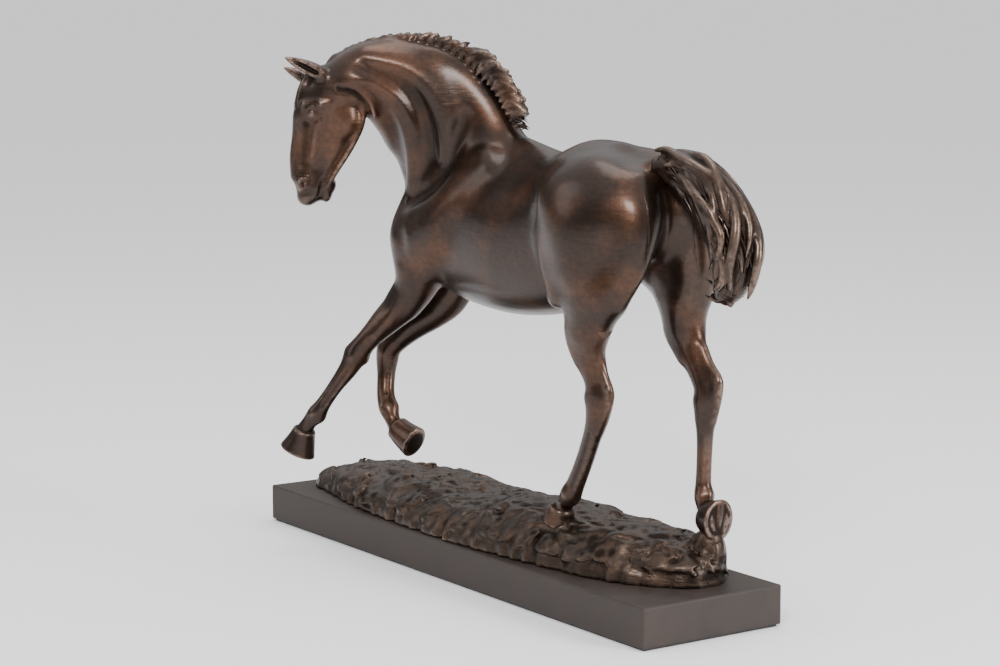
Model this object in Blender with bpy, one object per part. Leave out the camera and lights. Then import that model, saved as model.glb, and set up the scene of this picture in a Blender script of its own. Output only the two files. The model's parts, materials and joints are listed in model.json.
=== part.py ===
"""Bronze statuette of a striding horse, as a foundry makes it: hollow castings pinned together and
bolted through a flat plinth. Units are metres, +Z is up, +X is the way the horse goes and the origin
is the middle of the underside of the felt."""

import math

import bmesh
import bpy
from mathutils import Matrix, Vector

MM = 0.001

# Driving sizes
WITHERS_HEIGHT = 221 * MM       # from the ground under the planted hoof to the top of the withers
MODELLED_HEIGHT = 221           # the same height in the units of the station lists below
PLINTH_END_MARGIN = 19.0 * MM   # plinth beyond the cast ground, at each end
PLINTH_SIDE_MARGIN = 2.5 * MM   # plinth beyond the cast ground, at each side
PLINTH_HEIGHT = 23.7 * MM
PLINTH_EDGE_RADIUS = 1.2 * MM
FELT_THICKNESS = 1.0 * MM
FELT_INSET = 2.0 * MM
FIT_GAP = 0.3 * MM              # left between pieces that touch
BODY_WALL = 4.5                 # wall of the hollow castings, in station units
GROUND_WALL = 5.0 * MM
STUD_DIAMETER = 6.0 * MM
STUD_SPACING = 230.0 * MM
STUD_ENGAGEMENT = 11.0 * MM     # how far a stud enters its boss
BOSS_DIAMETER = 14.0 * MM
NUT_WIDTH = 10.0 * MM           # across flats
NUT_HEIGHT = 5.0 * MM
WASHER_DIAMETER = 16.0 * MM
WASHER_THICKNESS = 1.6 * MM
COUNTERBORE_DIAMETER = 19.0 * MM
DOWEL_LENGTH = 16.0 * MM
LEG_DOWEL_DIAMETER = 4.0 * MM
HOOF_STUD_DIAMETER = 3.0 * MM
HOOF_STUD_LENGTH = 14.0 * MM

# Fineness of the cast surfaces
RING_POINTS = 14
VOXEL = 1.7 * MM
ROUND_SIDES = 20

SCALE = WITHERS_HEIGHT / (MODELLED_HEIGHT * MM)
LIFT = FELT_THICKNESS + FIT_GAP
PLINTH_TOP = LIFT + PLINTH_HEIGHT
MODELLED_PLINTH_TOP = 23.7      # plinth height in the station lists
ACROSS = (0, 1, 0)
ALONG = (1, 0, 0)

# Horse. A station is x, y, z, then the half width along the side axis, then the half depth on the
# two sides of it, all in millimetres above the underside of the plinth.
TRUNK = [(-142, -1, 236, 24, 24, 26), (-125, -1, 236, 31, 33, 36), (-100, -2, 231, 35, 42, 44),
         (-78, -3, 225, 34, 42, 48.5), (-52, -4, 219, 36, 44, 51), (-25, -4, 217, 38, 47, 53),
         (0, -3, 217, 37, 49, 53), (28, 0, 218, 34, 49, 50), (49, 4, 219, 29, 44, 42),
         (62, 7, 219, 22, 34, 31)]
WITHERS = [(-50, -4, 253, 9, 8, 12), (-30, -4, 258, 9, 10, 14), (-10, -3, 262, 9, 12, 16),
           (12, 0, 266, 9, 14, 18), (28, 3, 268, 8, 12, 18)]
BREAST = [(64, 8, 198, 19, 13, 13), (70, 9, 215, 18, 13, 13), (68, 9, 235, 14, 14, 13)]
LEFT_HAUNCH = [(-96, 17, 246, 20, 20, 20), (-118, 20, 240, 23, 29, 30), (-138, 20, 232, 20, 26, 30),
               (-148, 17, 226, 15, 20, 24)]
RIGHT_HAUNCH = [(-100, -18, 246, 20, 20, 20), (-122, -22, 240, 23, 29, 30), (-142, -22, 232, 20, 26, 30),
                (-152, -19, 226, 15, 20, 24)]
LEFT_THIGH = [(-112, 22, 240, 26, 17, 19), (-122, 23, 224, 34, 17, 21), (-128, 24, 206, 31, 15, 18),
              (-131, 27, 190, 25, 12, 14), (-128, 27, 176, 18, 11, 11), (-125, 27, 166, 14.5, 10, 10)]
RIGHT_THIGH = [(-122, -24, 240, 26, 17, 19), (-136, -25, 224, 28, 19, 16), (-143, -25, 206, 27, 17, 15),
               (-148, -24, 190, 21, 13, 13), (-151, -24, 176, 15, 11, 11), (-153, -24, 166, 12, 10, 10)]
LEFT_STIFLE = [(-92, 30, 214, 10, 8, 8), (-100, 33, 196, 12, 9, 9), (-108, 32, 184, 10, 8, 8)]
RIGHT_STIFLE = [(-108, -30, 214, 10, 8, 8), (-120, -32, 196, 11, 9, 9), (-130, -30, 182, 9, 8, 8)]
LEFT_SHOULDER = [(4, 18, 256, 12, 7, 9), (24, 23, 244, 17, 9, 11), (44, 27, 228, 18, 10, 13),
                 (58, 28, 212, 17, 11, 13), (58, 29, 194, 15, 12, 12), (55, 28, 182, 14, 11, 11),
                 (60, 30, 172, 12.8, 10, 10), (66, 33, 164, 11.6, 9, 9)]
RIGHT_SHOULDER = [(4, -22, 256, 12, 7, 9), (26, -25, 244, 17, 9, 11), (48, -24, 228, 18, 10, 13),
                  (66, -18, 212, 16, 11, 13), (68, -14, 196, 14, 12, 12), (70, -13, 182, 13.5, 11, 11),
                  (76, -9, 169, 12.5, 10, 10), (80, -4, 163, 11.6, 9.4, 9.4)]
LEFT_ELBOW = [(22, 24, 225, 14, 12, 12), (34, 27, 208, 16, 13, 13), (44, 28, 194, 14, 11, 11),
              (43, 28, 183, 9, 8, 8)]
RIGHT_ELBOW = [(28, -26, 225, 13, 12, 12), (42, -28, 208, 15, 12, 12), (56, -24, 192, 13, 11, 11),
               (58, -18, 181, 9, 8, 8)]
# Crest point, underline point and half width of each section of the neck.
NECK = [((-12, -3, 266), (82, 8, 200), 24), ((-10, -1, 284), (84, 11, 226), 22),
        ((4, 4, 305), (80, 19, 246), 20), ((20, 13, 322), (75, 34, 262), 18.5),
        ((40, 28, 331), (69, 48, 275), 17.5), ((57, 46, 333), (63, 60, 284), 16.5),
        ((70, 66, 327), (61, 70, 290), 15.5), ((78, 80, 316), (68, 76, 292), 14)]
MANE = [(-16, -2, 286, 3.2, 5, 5), (-4, 2, 304, 3.4, 6, 6), (14, 10, 321, 3.4, 6.5, 6.5),
        (34, 24, 332, 3.4, 6.5, 6.5), (54, 44, 335, 3.2, 6, 6), (68, 62, 330, 3, 5, 5),
        (77, 78, 320, 2.6, 4, 4)]
# Head sections: forward of the poll, height, half width, half depth in front and behind.
HEAD_TURN = math.radians(62)
POLL = Vector((76, 84, 0))
HEAD = [(-4, 308, 12, 14, 14), (-4, 300, 14, 18, 16), (-3.2, 291, 14.2, 20, 19), (-2.5, 282, 13, 21.5, 21.5),
        (0, 270, 10.5, 19.5, 19), (4, 258, 8.6, 16.5, 15), (6.5, 248, 8.4, 13.5, 12),
        (7.2, 241, 8.8, 11.5, 10.5), (7, 236, 8, 8.5, 8)]
EAR = [(-2, 8, 311, 3.5, 4, 4), (6, 9, 316, 4.2, 3, 3), (14, 9.5, 320, 3.6, 2.2, 2.2),
       (22, 9.5, 324, 1.6, 1.3, 1.3)]
TAIL = [(-146, -1, 261, 7, 6, 6), (-158, -2, 264.5, 8, 7, 7), (-170, -4, 264, 10.5, 9.6, 9),
        (-186, -6, 257, 13, 13.5, 12.5), (-201, -8, 244, 14, 15, 14), (-210, -10, 229, 13.5, 15.4, 14.6),
        (-212, -11, 215, 12.5, 15, 14.4), (-207, -12, 203, 10.5, 14, 13), (-200, -12.5, 195, 6.5, 9, 9)]
LEFT_HIND = [(-128, 28, 186, 20, 11.5, 12), (-127, 27, 176, 17, 11, 11), (-124, 27, 166, 15.4, 10, 10),
             (-123, 25, 155, 13.4, 8.5, 8.5), (-124.5, 23, 146, 10.6, 7.5, 7.5), (-127, 22, 137, 8.6, 6.6, 6.6),
             (-128, 21.5, 128, 8.8, 7, 7), (-127, 21, 119, 8.4, 6.8, 6.8), (-123.4, 21, 108, 7, 5.6, 5.6),
             (-114, 20, 90, 6.6, 5, 5), (-104, 19.5, 73, 6.6, 5.2, 5.2), (-97.5, 19, 65, 7.2, 6.4, 6.4),
             (-92, 18.5, 59, 5.4, 5.8, 5.8), (-88.5, 18, 54, 7, 7.5, 7.5)]
LEFT_HOCK = [(-136, 22, 142, 2.6, 3, 3), (-138, 21.5, 132, 4, 3.6, 3.6), (-135, 21, 122, 4, 3.5, 3.5),
             (-128, 21, 110, 3, 3, 3)]
LEFT_HIND_HOOF = [(-88.5, 18, 55, 7.5, 8, 8), (-85, 18, 47, 10, 9.5, 9.5)]
RIGHT_HIND = [(-149, -24, 186, 18, 12, 12), (-150, -24, 178, 15, 11, 11), (-152, -24, 169, 12.5, 10, 10),
              (-158, -24, 157, 10.8, 8.5, 8.5), (-166, -24, 146, 9.2, 7.5, 7.5),
              (-171, -24, 136, 8.4, 6.8, 6.8), (-171.5, -24, 127, 8.4, 7, 7), (-171, -24, 118, 7.2, 6.4, 6.4),
              (-171, -24, 108, 5.8, 5.4, 5.4), (-170.5, -24, 92, 5.4, 4.8, 4.8), (-170, -24, 79, 5.6, 5, 5),
              (-171, -23.5, 72, 6.4, 6, 6), (-174, -22.5, 66, 5, 5.6, 5.6), (-178, -21.5, 62, 6, 6, 6)]
RIGHT_HOCK = [(-172, -25, 150, 2.6, 3, 3), (-180, -25, 141, 4, 3.6, 3.6), (-179, -25, 131, 4, 3.5, 3.5),
              (-176, -24.5, 118, 3, 3, 3)]
RIGHT_HIND_HOOF = [(-177, -20.5, 61.5, 8.5, 8.5, 8.5), (-188, -21, 61, 11.4, 12.4, 12.4)]
LEFT_FORE_SIDE = (0.75, 0.55, 0.3)
LEFT_FORE = [(53, 28, 188, 15, 12, 12), (56, 28, 178, 13.5, 10.8, 10.8), (66, 33, 164, 11.6, 9, 9),
             (74, 42, 152, 9.6, 7.8, 7.8), (82, 50, 140, 7.8, 6.8, 6.8), (88.5, 54, 131, 7.9, 7.4, 7.4),
             (92.5, 58, 121, 6.6, 6.2, 6.2), (99, 64, 109, 5.5, 4.8, 4.8), (105.5, 69.5, 97, 5.5, 4.9, 4.9),
             (110, 72, 90, 6.6, 6.2, 6.2), (116, 74.5, 83.5, 5, 5.8, 5.8), (120, 76, 77, 6.5, 7, 7)]
LEFT_FORE_HOOF_SIDE = (0.85, 0.5, 0)
LEFT_FORE_HOOF = [(119.6, 76, 77, 7.6, 8, 8), (124.8, 78.4, 63.5, 12.4, 10, 10)]
RIGHT_FORE_SIDE = (0.7, 0.6, 0.3)
RIGHT_FORE = [(66, -14, 190, 14, 12, 12), (70.4, -12.6, 179, 14.2, 11, 11), (76.6, -8.2, 165.6, 13.8, 10.4, 10.4),
              (82.4, -0.4, 157, 13, 9.4, 9.4), (90.8, 12, 146.2, 11, 8.2, 8.2), (99.4, 20.5, 133.6, 8.6, 7.2, 7.2),
              (102.6, 22, 126, 7.8, 7.2, 7.2), (101.2, 24, 112.5, 6.4, 5.4, 5.4), (98, 26.5, 100, 6.2, 5.2, 5.2),
              (92, 28, 92, 6.8, 6.3, 6.3), (88, 27.2, 84, 5, 5.8, 5.8), (83, 26.4, 78.5, 6.5, 7, 7)]
RIGHT_FORE_HOOF_SIDE = (0.25, 0.1, -1)
RIGHT_FORE_HOOF = [(83.4, 26.5, 78.6, 8.4, 8, 8), (69.4, 23.2, 72.4, 10.8, 9.2, 9.2)]

# Joints between castings: a point of the seam and the direction out of the trunk.
JOINTS = {
    "left_hindleg": ((-125.5, 27, 171), (0.08, -0.02, -1), 25),
    "right_hindleg": ((-151.5, -24, 171), (-0.2, 0, -1), 24),
    "left_foreleg": ((62, 31, 169.5), (0.45, 0.35, -0.82), 18),
    "right_foreleg": ((76.5, -8.5, 168.5), (0.45, 0.5, -0.74), 18),
    "neck": ((37, 5, 254), (0.5, 0.12, 0.86), 70),
    "tail": ((-155, -1.8, 265.5), (-1, -0.05, 0.15), 13),
}

# Ground: station x, height of the crest, y of the near edge, y of the far edge.
GROUND = [(-191, 10, -2, -24), (-186, 15.5, 6, -32), (-176, 20.5, 14, -39), (-158, 24, 26, -46),
          (-130, 24.5, 35, -48), (-100, 25, 39.5, -48), (-70, 26.5, 43.5, -47), (-45, 27, 46, -46),
          (-18, 24, 48, -46), (12, 22, 48, -46), (50, 23.5, 47, -46), (85, 24, 45.5, -44),
          (123, 21, 41, -42), (160, 16.8, 33, -39), (180, 13.8, 29, -34), (191, 11, 25, -29)]
GROUND_PROFILE_POINTS = 9
GROUND_BULGE = 2.6              # exponent of the cross section: higher is flatter on top
STUMP = [(-178, -19, 36, 13, 12, 12), (-180, -19, 43, 11, 9.5, 9.5), (-181, -19, 49, 9.5, 8, 8),
         (-181, -18, 53, 9, 7, 7)]

STUD_TAIL = 1.2 * MM            # stud left below its nut
SLEEVE_LENGTH = 14.0 * MM
SHARED_NECK_STATIONS = 5        # neck stations that the hollow of both castings follows
SLEEVE_WALL = 3.0 * MM
HOOF_DOME = 0.12                # rounding of a sole, over its half width
HOOF_CLEARANCE = 0.6            # between a hoof and its seat, in station units
LEFT_HOOF_STUD = (-86, 18, 39)
RIGHT_HOOF_STUD = (-182, -20, 43)
MANE_SIDE = (-0.5, 0.85, 0)

# Share of the remeshed faces that each casting keeps
TORSO_KEEP = 0.036
HEAD_KEEP = 0.064
LEG_KEEP = 0.062
TAIL_KEEP = 0.09
LEG_VOXEL = 1.1 * MM

BRONZE = ("bronze_brown_patina", (0.080, 0.042, 0.026, 1), 0.34, 0.9)
PLINTH_FINISH = ("plinth_dark_paint", (0.075, 0.060, 0.052, 1), 0.55, 0.0)
STEEL = ("zinc_steel", (0.55, 0.55, 0.53, 1), 0.35, 1.0)
FELT = ("black_felt", (0.02, 0.02, 0.02, 1), 0.95, 0.0)


def clear_scene():
    for obj in list(bpy.data.objects):
        bpy.data.objects.remove(obj, do_unlink=True)


def material(finish):
    name, colour, roughness, metallic = finish
    found = bpy.data.materials.get(name)
    if found:
        return found
    made = bpy.data.materials.new(name)
    made.use_nodes = True
    shader = made.node_tree.nodes["Principled BSDF"]
    shader.inputs["Base Color"].default_value = colour
    shader.inputs["Roughness"].default_value = roughness
    shader.inputs["Metallic"].default_value = metallic
    return made


def new_object(name, bm, finish, smooth=True):
    mesh = bpy.data.meshes.new(name)
    if bm.calc_volume(signed=True) < 0:
        bmesh.ops.reverse_faces(bm, faces=bm.faces)
    bm.to_mesh(mesh)
    bm.free()
    if smooth:
        mesh.shade_smooth()
        mesh.set_sharp_from_angle(angle=math.radians(40))
    obj = bpy.data.objects.new(name, mesh)
    bpy.context.scene.collection.objects.link(obj)
    mesh.materials.append(material(finish))
    return obj


def as_cutter(obj):
    obj.hide_render = True
    obj.display_type = "WIRE"
    return obj


def placed(point):
    """A station point in metres, above the felt and the real plinth."""
    x, y, z = point
    height = (z - MODELLED_PLINTH_TOP) * SCALE * MM
    return Vector((x * SCALE * MM, y * SCALE * MM, PLINTH_TOP + height))


def spline(rows, steps):
    """Catmull-Rom through the rows, with this many steps between two of them."""
    rows = [Vector(row) for row in rows]
    ends = [rows[0] * 2 - rows[1]] + rows + [rows[-1] * 2 - rows[-2]]
    out = []
    for a, b, c, d in zip(ends, ends[1:], ends[2:], ends[3:]):
        for i in range(steps):
            t = i / steps
            out.append(0.5 * (2 * b + (c - a) * t + (2 * a - 5 * b + 4 * c - d) * t * t
                              + (3 * b - a - 3 * c + d) * t ** 3))
    return out + [rows[-1]]


def add_loft(bm, stations, side=ACROSS, steps=3, dome=0.7, grow=0.0):
    """Adds a closed tube through elliptical stations. The side is one direction, or one per station.
    Grow is added to each half size, and dome is the length of the rounded ends over their half size."""
    sides = [side] * len(stations) if isinstance(side[0], (int, float)) else side
    rows = spline([tuple(st) + tuple(direction) for st, direction in zip(stations, sides)], steps)
    centres = [Vector(row[:3]) for row in rows]
    rings = []

    def frame_at(index):
        ahead = centres[min(index + 1, len(centres) - 1)] - centres[max(index - 1, 0)]
        forward = ahead.normalized()
        across = Vector(rows[index][6:9])
        across = (across - forward * across.dot(forward)).normalized()
        return forward, across, forward.cross(across)

    def add_ring(index, shrink, shift):
        forward, across, deep = frame_at(index)
        half, above, below = (size + grow for size in rows[index][3:6])
        middle = centres[index] + forward * shift
        ring = []
        for i in range(RING_POINTS):
            turn = math.tau * i / RING_POINTS
            depth = above if math.sin(turn) > 0 else below
            offset = across * half * math.cos(turn) + deep * depth * math.sin(turn)
            ring.append(bm.verts.new(placed(middle + offset * shrink)))
        rings.append(ring)

    def add_dome(index, sign):
        reach = dome * min(size + grow for size in rows[index][3:6])
        angles = [math.radians(75), math.radians(45)]
        for angle in (angles if sign < 0 else reversed(angles)):
            add_ring(index, math.cos(angle), sign * reach * math.sin(angle))

    add_dome(0, -1)
    for index in range(len(centres)):
        add_ring(index, 1.0, 0.0)
    add_dome(len(centres) - 1, 1)
    for low, high in zip(rings, rings[1:]):
        for i in range(RING_POINTS):
            j = (i + 1) % RING_POINTS
            bm.faces.new((low[i], low[j], high[j], high[i]))
    bm.faces.new(list(reversed(rings[0])))
    bm.faces.new(rings[-1])
    bmesh.ops.triangulate(bm, faces=bm.faces, quad_method="FIXED")


def neck_stations(shrink=0.0):
    """Stations and side directions of the neck, from its crest and underline points."""
    crest = [Vector(row[0]) for row in NECK]
    under = [Vector(row[1]) for row in NECK]
    centres = [(a + b) / 2 for a, b in zip(crest, under)]
    stations, sides = [], []
    for i, (top, bottom) in enumerate(zip(crest, under)):
        forward = (centres[min(i + 1, len(centres) - 1)] - centres[max(i - 1, 0)]).normalized()
        depth = (top - bottom) / 2
        depth -= forward * depth.dot(forward)
        half = depth.length - shrink
        stations.append((*centres[i], NECK[i][2] - shrink, half, half))
        sides.append(tuple(depth.cross(forward).normalized()))
    return stations, sides


def head_point(forward, left, height):
    ahead = Vector((math.cos(HEAD_TURN), math.sin(HEAD_TURN), 0))
    leftward = Vector((-math.sin(HEAD_TURN), math.cos(HEAD_TURN), 0))
    return POLL + ahead * forward + leftward * left + Vector((0, 0, height))


def head_side():
    return (-math.sin(HEAD_TURN), math.cos(HEAD_TURN), 0)


def box_cutter(name, point, direction, half_width, length):
    """A box that starts half the fit gap before the point and runs along the direction."""
    bm = bmesh.new()
    bmesh.ops.create_cube(bm, size=1)
    turn = Vector(direction).normalized().to_track_quat("Z", "Y").to_matrix().to_4x4()
    size = Matrix.Diagonal((2 * half_width, 2 * half_width, length, 1))
    shift = Matrix.Translation((0, 0, (length - FIT_GAP) / 2))
    bm.transform(Matrix.Translation(placed(point)) @ turn @ shift @ size)
    return as_cutter(new_object(name, bm, BRONZE, smooth=False))


def rod_mesh(start, direction, diameter, length, sides=ROUND_SIDES):
    """A bmesh cylinder from the start point along the direction."""
    bm = bmesh.new()
    bmesh.ops.create_cone(bm, cap_ends=True, segments=sides, radius1=diameter / 2,
                          radius2=diameter / 2, depth=length)
    turn = Vector(direction).normalized().to_track_quat("Z", "Y").to_matrix().to_4x4()
    bm.transform(Matrix.Translation(start) @ turn @ Matrix.Translation((0, 0, length / 2)))
    return bm


def boolean(obj, cutter, operation="DIFFERENCE"):
    modifier = obj.modifiers.new(f"{operation.lower()}_{cutter.name}"[:60], "BOOLEAN")
    modifier.operation = operation
    modifier.solver = "EXACT"
    modifier.object = cutter
    return modifier


def smooth_casting(name, lofts, keep, rounds=3, voxel=VOXEL):
    """One skin round all the lofts, smoothed, and thinned to this share of its faces."""
    bm = bmesh.new()
    for stations, side, dome in lofts:
        add_loft(bm, stations, side, dome=dome)
    obj = new_object(name, bm, BRONZE)
    skin = obj.modifiers.new("skin", "REMESH")
    skin.mode = "VOXEL"
    skin.voxel_size = voxel * SCALE
    skin.use_smooth_shade = True
    soften = obj.modifiers.new("soften", "SMOOTH")
    soften.factor = 0.5
    soften.iterations = rounds
    thin = obj.modifiers.new("thin", "DECIMATE")
    thin.ratio = keep
    return obj


def core_cutter(name, stations, side):
    """The hollow inside a casting: a loft that is a wall smaller all round."""
    bm = bmesh.new()
    add_loft(bm, stations, side, steps=2, grow=-BODY_WALL)
    return as_cutter(new_object(name, bm, BRONZE))


def neck_core(name, last, extra=0.0):
    """The hollow of the neck up to a station, which both castings share, shrunk by the extra."""
    stations, sides = neck_stations(shrink=BODY_WALL + extra)
    bm = bmesh.new()
    add_loft(bm, stations[:last], sides[:last], steps=1, dome=0.3)
    return as_cutter(new_object(name, bm, BRONZE))


def cut_at_joint(obj, joint, outward):
    """Cuts the casting flat at the seam. Outward removes what lies beyond it, away from the trunk."""
    point, direction, half_width = JOINTS[joint]
    direction = Vector(direction) * (1 if outward else -1)
    size = half_width * SCALE * MM * (1 if outward else 2)
    cutter = box_cutter(f"{obj.name}_cut_{joint}", point, direction, size, 2 * size)
    boolean(obj, cutter)


def joint_axis(joint):
    point, direction, _ = JOINTS[joint]
    return placed(point), Vector(direction).normalized()


def drill(obj, start, direction, diameter, length):
    """Drills a clearance hole for a rod of this size."""
    gap = FIT_GAP
    middle = Vector(start) - Vector(direction).normalized() * gap
    bm = rod_mesh(middle, direction, diameter + 2 * gap, length + 2 * gap)
    boolean(obj, as_cutter(new_object(f"{obj.name}_bore", bm, STEEL, smooth=False)))


def dowel(name, joint, diameter, castings, length=DOWEL_LENGTH):
    """A pin across a seam, with a hole for it in the castings on both sides."""
    point, direction = joint_axis(joint)
    start = point - direction * length / 2
    pin = new_object(name, rod_mesh(start, direction, diameter, length), STEEL)
    for casting in castings:
        drill(casting, start, direction, diameter, length)
    return pin


def torso_casting():
    neck, sides = neck_stations()
    lofts = [(TRUNK, ACROSS, 0.7), (WITHERS, ACROSS, 0.8), (BREAST, ACROSS, 0.8),
             (neck[:3], sides[:3], 0.3), (TAIL[:3], ACROSS, 0.8)]
    for limb in (LEFT_HAUNCH, RIGHT_HAUNCH):
        lofts.append((limb, ACROSS, 0.8))
    for limb in (LEFT_THIGH, RIGHT_THIGH, LEFT_STIFLE, RIGHT_STIFLE, LEFT_SHOULDER, RIGHT_SHOULDER,
                 LEFT_ELBOW, RIGHT_ELBOW):
        lofts.append((limb, ALONG, 0.8))
    torso = smooth_casting("torso_casting", lofts, TORSO_KEEP)
    for joint in JOINTS:
        cut_at_joint(torso, joint, outward=True)
    boolean(torso, core_cutter("torso_core", TRUNK[1:], ACROSS))
    boolean(torso, neck_core("torso_neck_core", SHARED_NECK_STATIONS))
    return torso


def head_and_neck_casting():
    neck, sides = neck_stations()
    head = [(*head_point(row[0], 0, row[1]), *row[2:]) for row in HEAD]
    lofts = [(neck, sides, 0.3), (MANE, MANE_SIDE, 0.8), (head, head_side(), 0.6)]
    for hand in (1, -1):
        ear = [(*head_point(row[0], hand * row[1], row[2]), *row[3:]) for row in EAR]
        lofts.append((ear, head_side(), 0.8))
    casting = smooth_casting("head_and_neck_casting", lofts, HEAD_KEEP)
    cut_at_joint(casting, "neck", outward=False)
    boolean(casting, neck_core("neck_core", SHARED_NECK_STATIONS + 1))
    return casting


def neck_sleeve():
    """A ring inside both hollows that lines the neck up on the trunk."""
    bm = bmesh.new()
    stations, sides = neck_stations(shrink=BODY_WALL + FIT_GAP / MM / SCALE)
    add_loft(bm, stations[:SHARED_NECK_STATIONS], sides[:SHARED_NECK_STATIONS], steps=1, dome=0.3)
    sleeve = new_object("neck_sleeve", bm, BRONZE)
    point, direction, half_width = JOINTS["neck"]
    for end in (1, -1):
        away = Vector(direction).normalized() * end
        start = Vector(point) + away * SLEEVE_LENGTH / MM / SCALE / 2
        size = half_width * SCALE * MM
        boolean(sleeve, box_cutter(f"neck_sleeve_end_{end + 1}", start, away, size, 2 * size))
    boolean(sleeve, neck_core("neck_sleeve_bore", SHARED_NECK_STATIONS, extra=SLEEVE_WALL / MM / SCALE))
    return sleeve


def leg_casting(name, joint, lofts):
    casting = smooth_casting(name, lofts, LEG_KEEP, rounds=2, voxel=LEG_VOXEL)
    cut_at_joint(casting, joint, outward=False)
    return casting


def leg_castings():
    return {
        "left_hindleg": leg_casting("left_hindleg_casting", "left_hindleg", [
            (LEFT_HIND, ALONG, 0.5), (LEFT_HOCK, ALONG, 0.8), (LEFT_HIND_HOOF, ALONG, HOOF_DOME)]),
        "right_hindleg": leg_casting("right_hindleg_casting", "right_hindleg", [
            (RIGHT_HIND, ALONG, 0.5), (RIGHT_HOCK, ALONG, 0.8), (RIGHT_HIND_HOOF, ACROSS, HOOF_DOME)]),
        "left_foreleg": leg_casting("left_foreleg_casting", "left_foreleg", [
            (LEFT_FORE, LEFT_FORE_SIDE, 0.5), (LEFT_FORE_HOOF, LEFT_FORE_HOOF_SIDE, HOOF_DOME)]),
        "right_foreleg": leg_casting("right_foreleg_casting", "right_foreleg", [
            (RIGHT_FORE, RIGHT_FORE_SIDE, 0.5), (RIGHT_FORE_HOOF, RIGHT_FORE_HOOF_SIDE, HOOF_DOME)]),
    }


def tail_casting():
    casting = smooth_casting("tail_casting", [(TAIL, ACROSS, 0.8)], TAIL_KEEP)
    cut_at_joint(casting, "tail", outward=False)
    return casting


def ground_solid(name, inset=0.0, sink=0.0, skip=0):
    """The cast earth as a long dome. The inset shrinks it all round, and sink drops its flat bottom."""
    rows = spline(GROUND[skip:len(GROUND) - skip], 2)
    bm = bmesh.new()
    sections = []
    for x, height, near, far in rows:
        middle, half = (near + far) / 2 * SCALE * MM, (near - far) / 2 * SCALE * MM - inset
        crest = max(height * SCALE * MM - inset, inset / 2)
        section = [bm.verts.new((x * SCALE * MM, middle + end * half, PLINTH_TOP + FIT_GAP - sink))
                   for end in ((-1, 1) if sink else ())]
        for i in range(GROUND_PROFILE_POINTS):
            share = -math.cos(math.pi * i / (GROUND_PROFILE_POINTS - 1))
            rise = crest * math.sqrt(max(0.0, 1 - abs(share) ** GROUND_BULGE))
            section.insert(len(section) - (1 if sink else 0), bm.verts.new((
                x * SCALE * MM, middle + share * half, PLINTH_TOP + FIT_GAP + rise)))
        sections.append(section)
    for low, high in zip(sections, sections[1:]):
        for i in range(len(low)):
            j = (i + 1) % len(low)
            bm.faces.new((low[i], low[j], high[j], high[i]))
    bm.faces.new(list(reversed(sections[0])))
    bm.faces.new(sections[-1])
    return new_object(name, bm, BRONZE)


def ground_height(x):
    """Height of the crest of the cast earth above the plinth, in metres, at this x in metres."""
    for low, high in zip(GROUND, GROUND[1:]):
        if low[0] <= x / SCALE / MM <= high[0]:
            share = (x / SCALE / MM - low[0]) / (high[0] - low[0])
            return (low[1] + share * (high[1] - low[1])) * SCALE * MM
    return 0.0


def stud_places():
    return [(end * STUD_SPACING / 2, 0.0) for end in (1, -1)]


def ground_casting():
    ground = ground_solid("ground_casting")
    bm = bmesh.new()
    add_loft(bm, STUMP, ALONG, dome=0.3)
    boolean(ground, as_cutter(new_object("stump", bm, BRONZE)), "UNION")
    hollow = as_cutter(ground_solid("ground_core", inset=GROUND_WALL, sink=GROUND_WALL, skip=2))
    boolean(ground, hollow)
    for x, y in stud_places():
        height = ground_height(x) - GROUND_WALL / 2
        rod = rod_mesh((x, y, PLINTH_TOP + FIT_GAP), (0, 0, 1), BOSS_DIAMETER, height)
        boolean(ground, as_cutter(new_object("boss", rod, BRONZE)), "UNION")
        drill(ground, (x, y, PLINTH_TOP - FIT_GAP), (0, 0, 1), STUD_DIAMETER, STUD_ENGAGEMENT)
    for name, hoof, side in (("left_hoof_seat", LEFT_HIND_HOOF, ALONG),
                             ("right_hoof_seat", RIGHT_HIND_HOOF, ACROSS)):
        bm = bmesh.new()
        add_loft(bm, hoof, side, dome=HOOF_DOME, grow=HOOF_CLEARANCE)
        boolean(ground, as_cutter(new_object(name, bm, BRONZE)))
    return ground


def hoof_stud(name, point, castings):
    start = placed(point)
    stud = new_object(name, rod_mesh(start, (0, 0, 1), HOOF_STUD_DIAMETER, HOOF_STUD_LENGTH), STEEL)
    for casting in castings:
        drill(casting, start, (0, 0, 1), HOOF_STUD_DIAMETER, HOOF_STUD_LENGTH)
    return stud


def plinth_size():
    xs = [row[0] for row in GROUND]
    reach = max(abs(row[side]) for row in GROUND for side in (2, 3))
    length = (max(xs) - min(xs)) * SCALE * MM + 2 * PLINTH_END_MARGIN
    return length, 2 * reach * SCALE * MM + 2 * PLINTH_SIDE_MARGIN


def slab(name, length, width, low, height, finish):
    bm = bmesh.new()
    bmesh.ops.create_cube(bm, size=1)
    bm.transform(Matrix.Translation((0, 0, low + height / 2)) @ Matrix.Diagonal((length, width, height, 1)))
    return new_object(name, bm, finish, smooth=False)


def counterbore_depth():
    return WASHER_THICKNESS + NUT_HEIGHT + STUD_TAIL + 2 * FIT_GAP


def plinth():
    length, width = plinth_size()
    block = slab("plinth", length, width, LIFT, PLINTH_HEIGHT, PLINTH_FINISH)
    edge = block.modifiers.new("edge", "BEVEL")
    edge.width = PLINTH_EDGE_RADIUS
    edge.segments = 3
    for x, y in stud_places():
        drill(block, (x, y, LIFT - FIT_GAP), (0, 0, 1), STUD_DIAMETER, PLINTH_HEIGHT + 2 * FIT_GAP)
        bore = rod_mesh((x, y, LIFT - FIT_GAP), (0, 0, 1), COUNTERBORE_DIAMETER,
                        counterbore_depth() + FIT_GAP)
        boolean(block, as_cutter(new_object("counterbore", bore, STEEL, smooth=False)))
    return block


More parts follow.
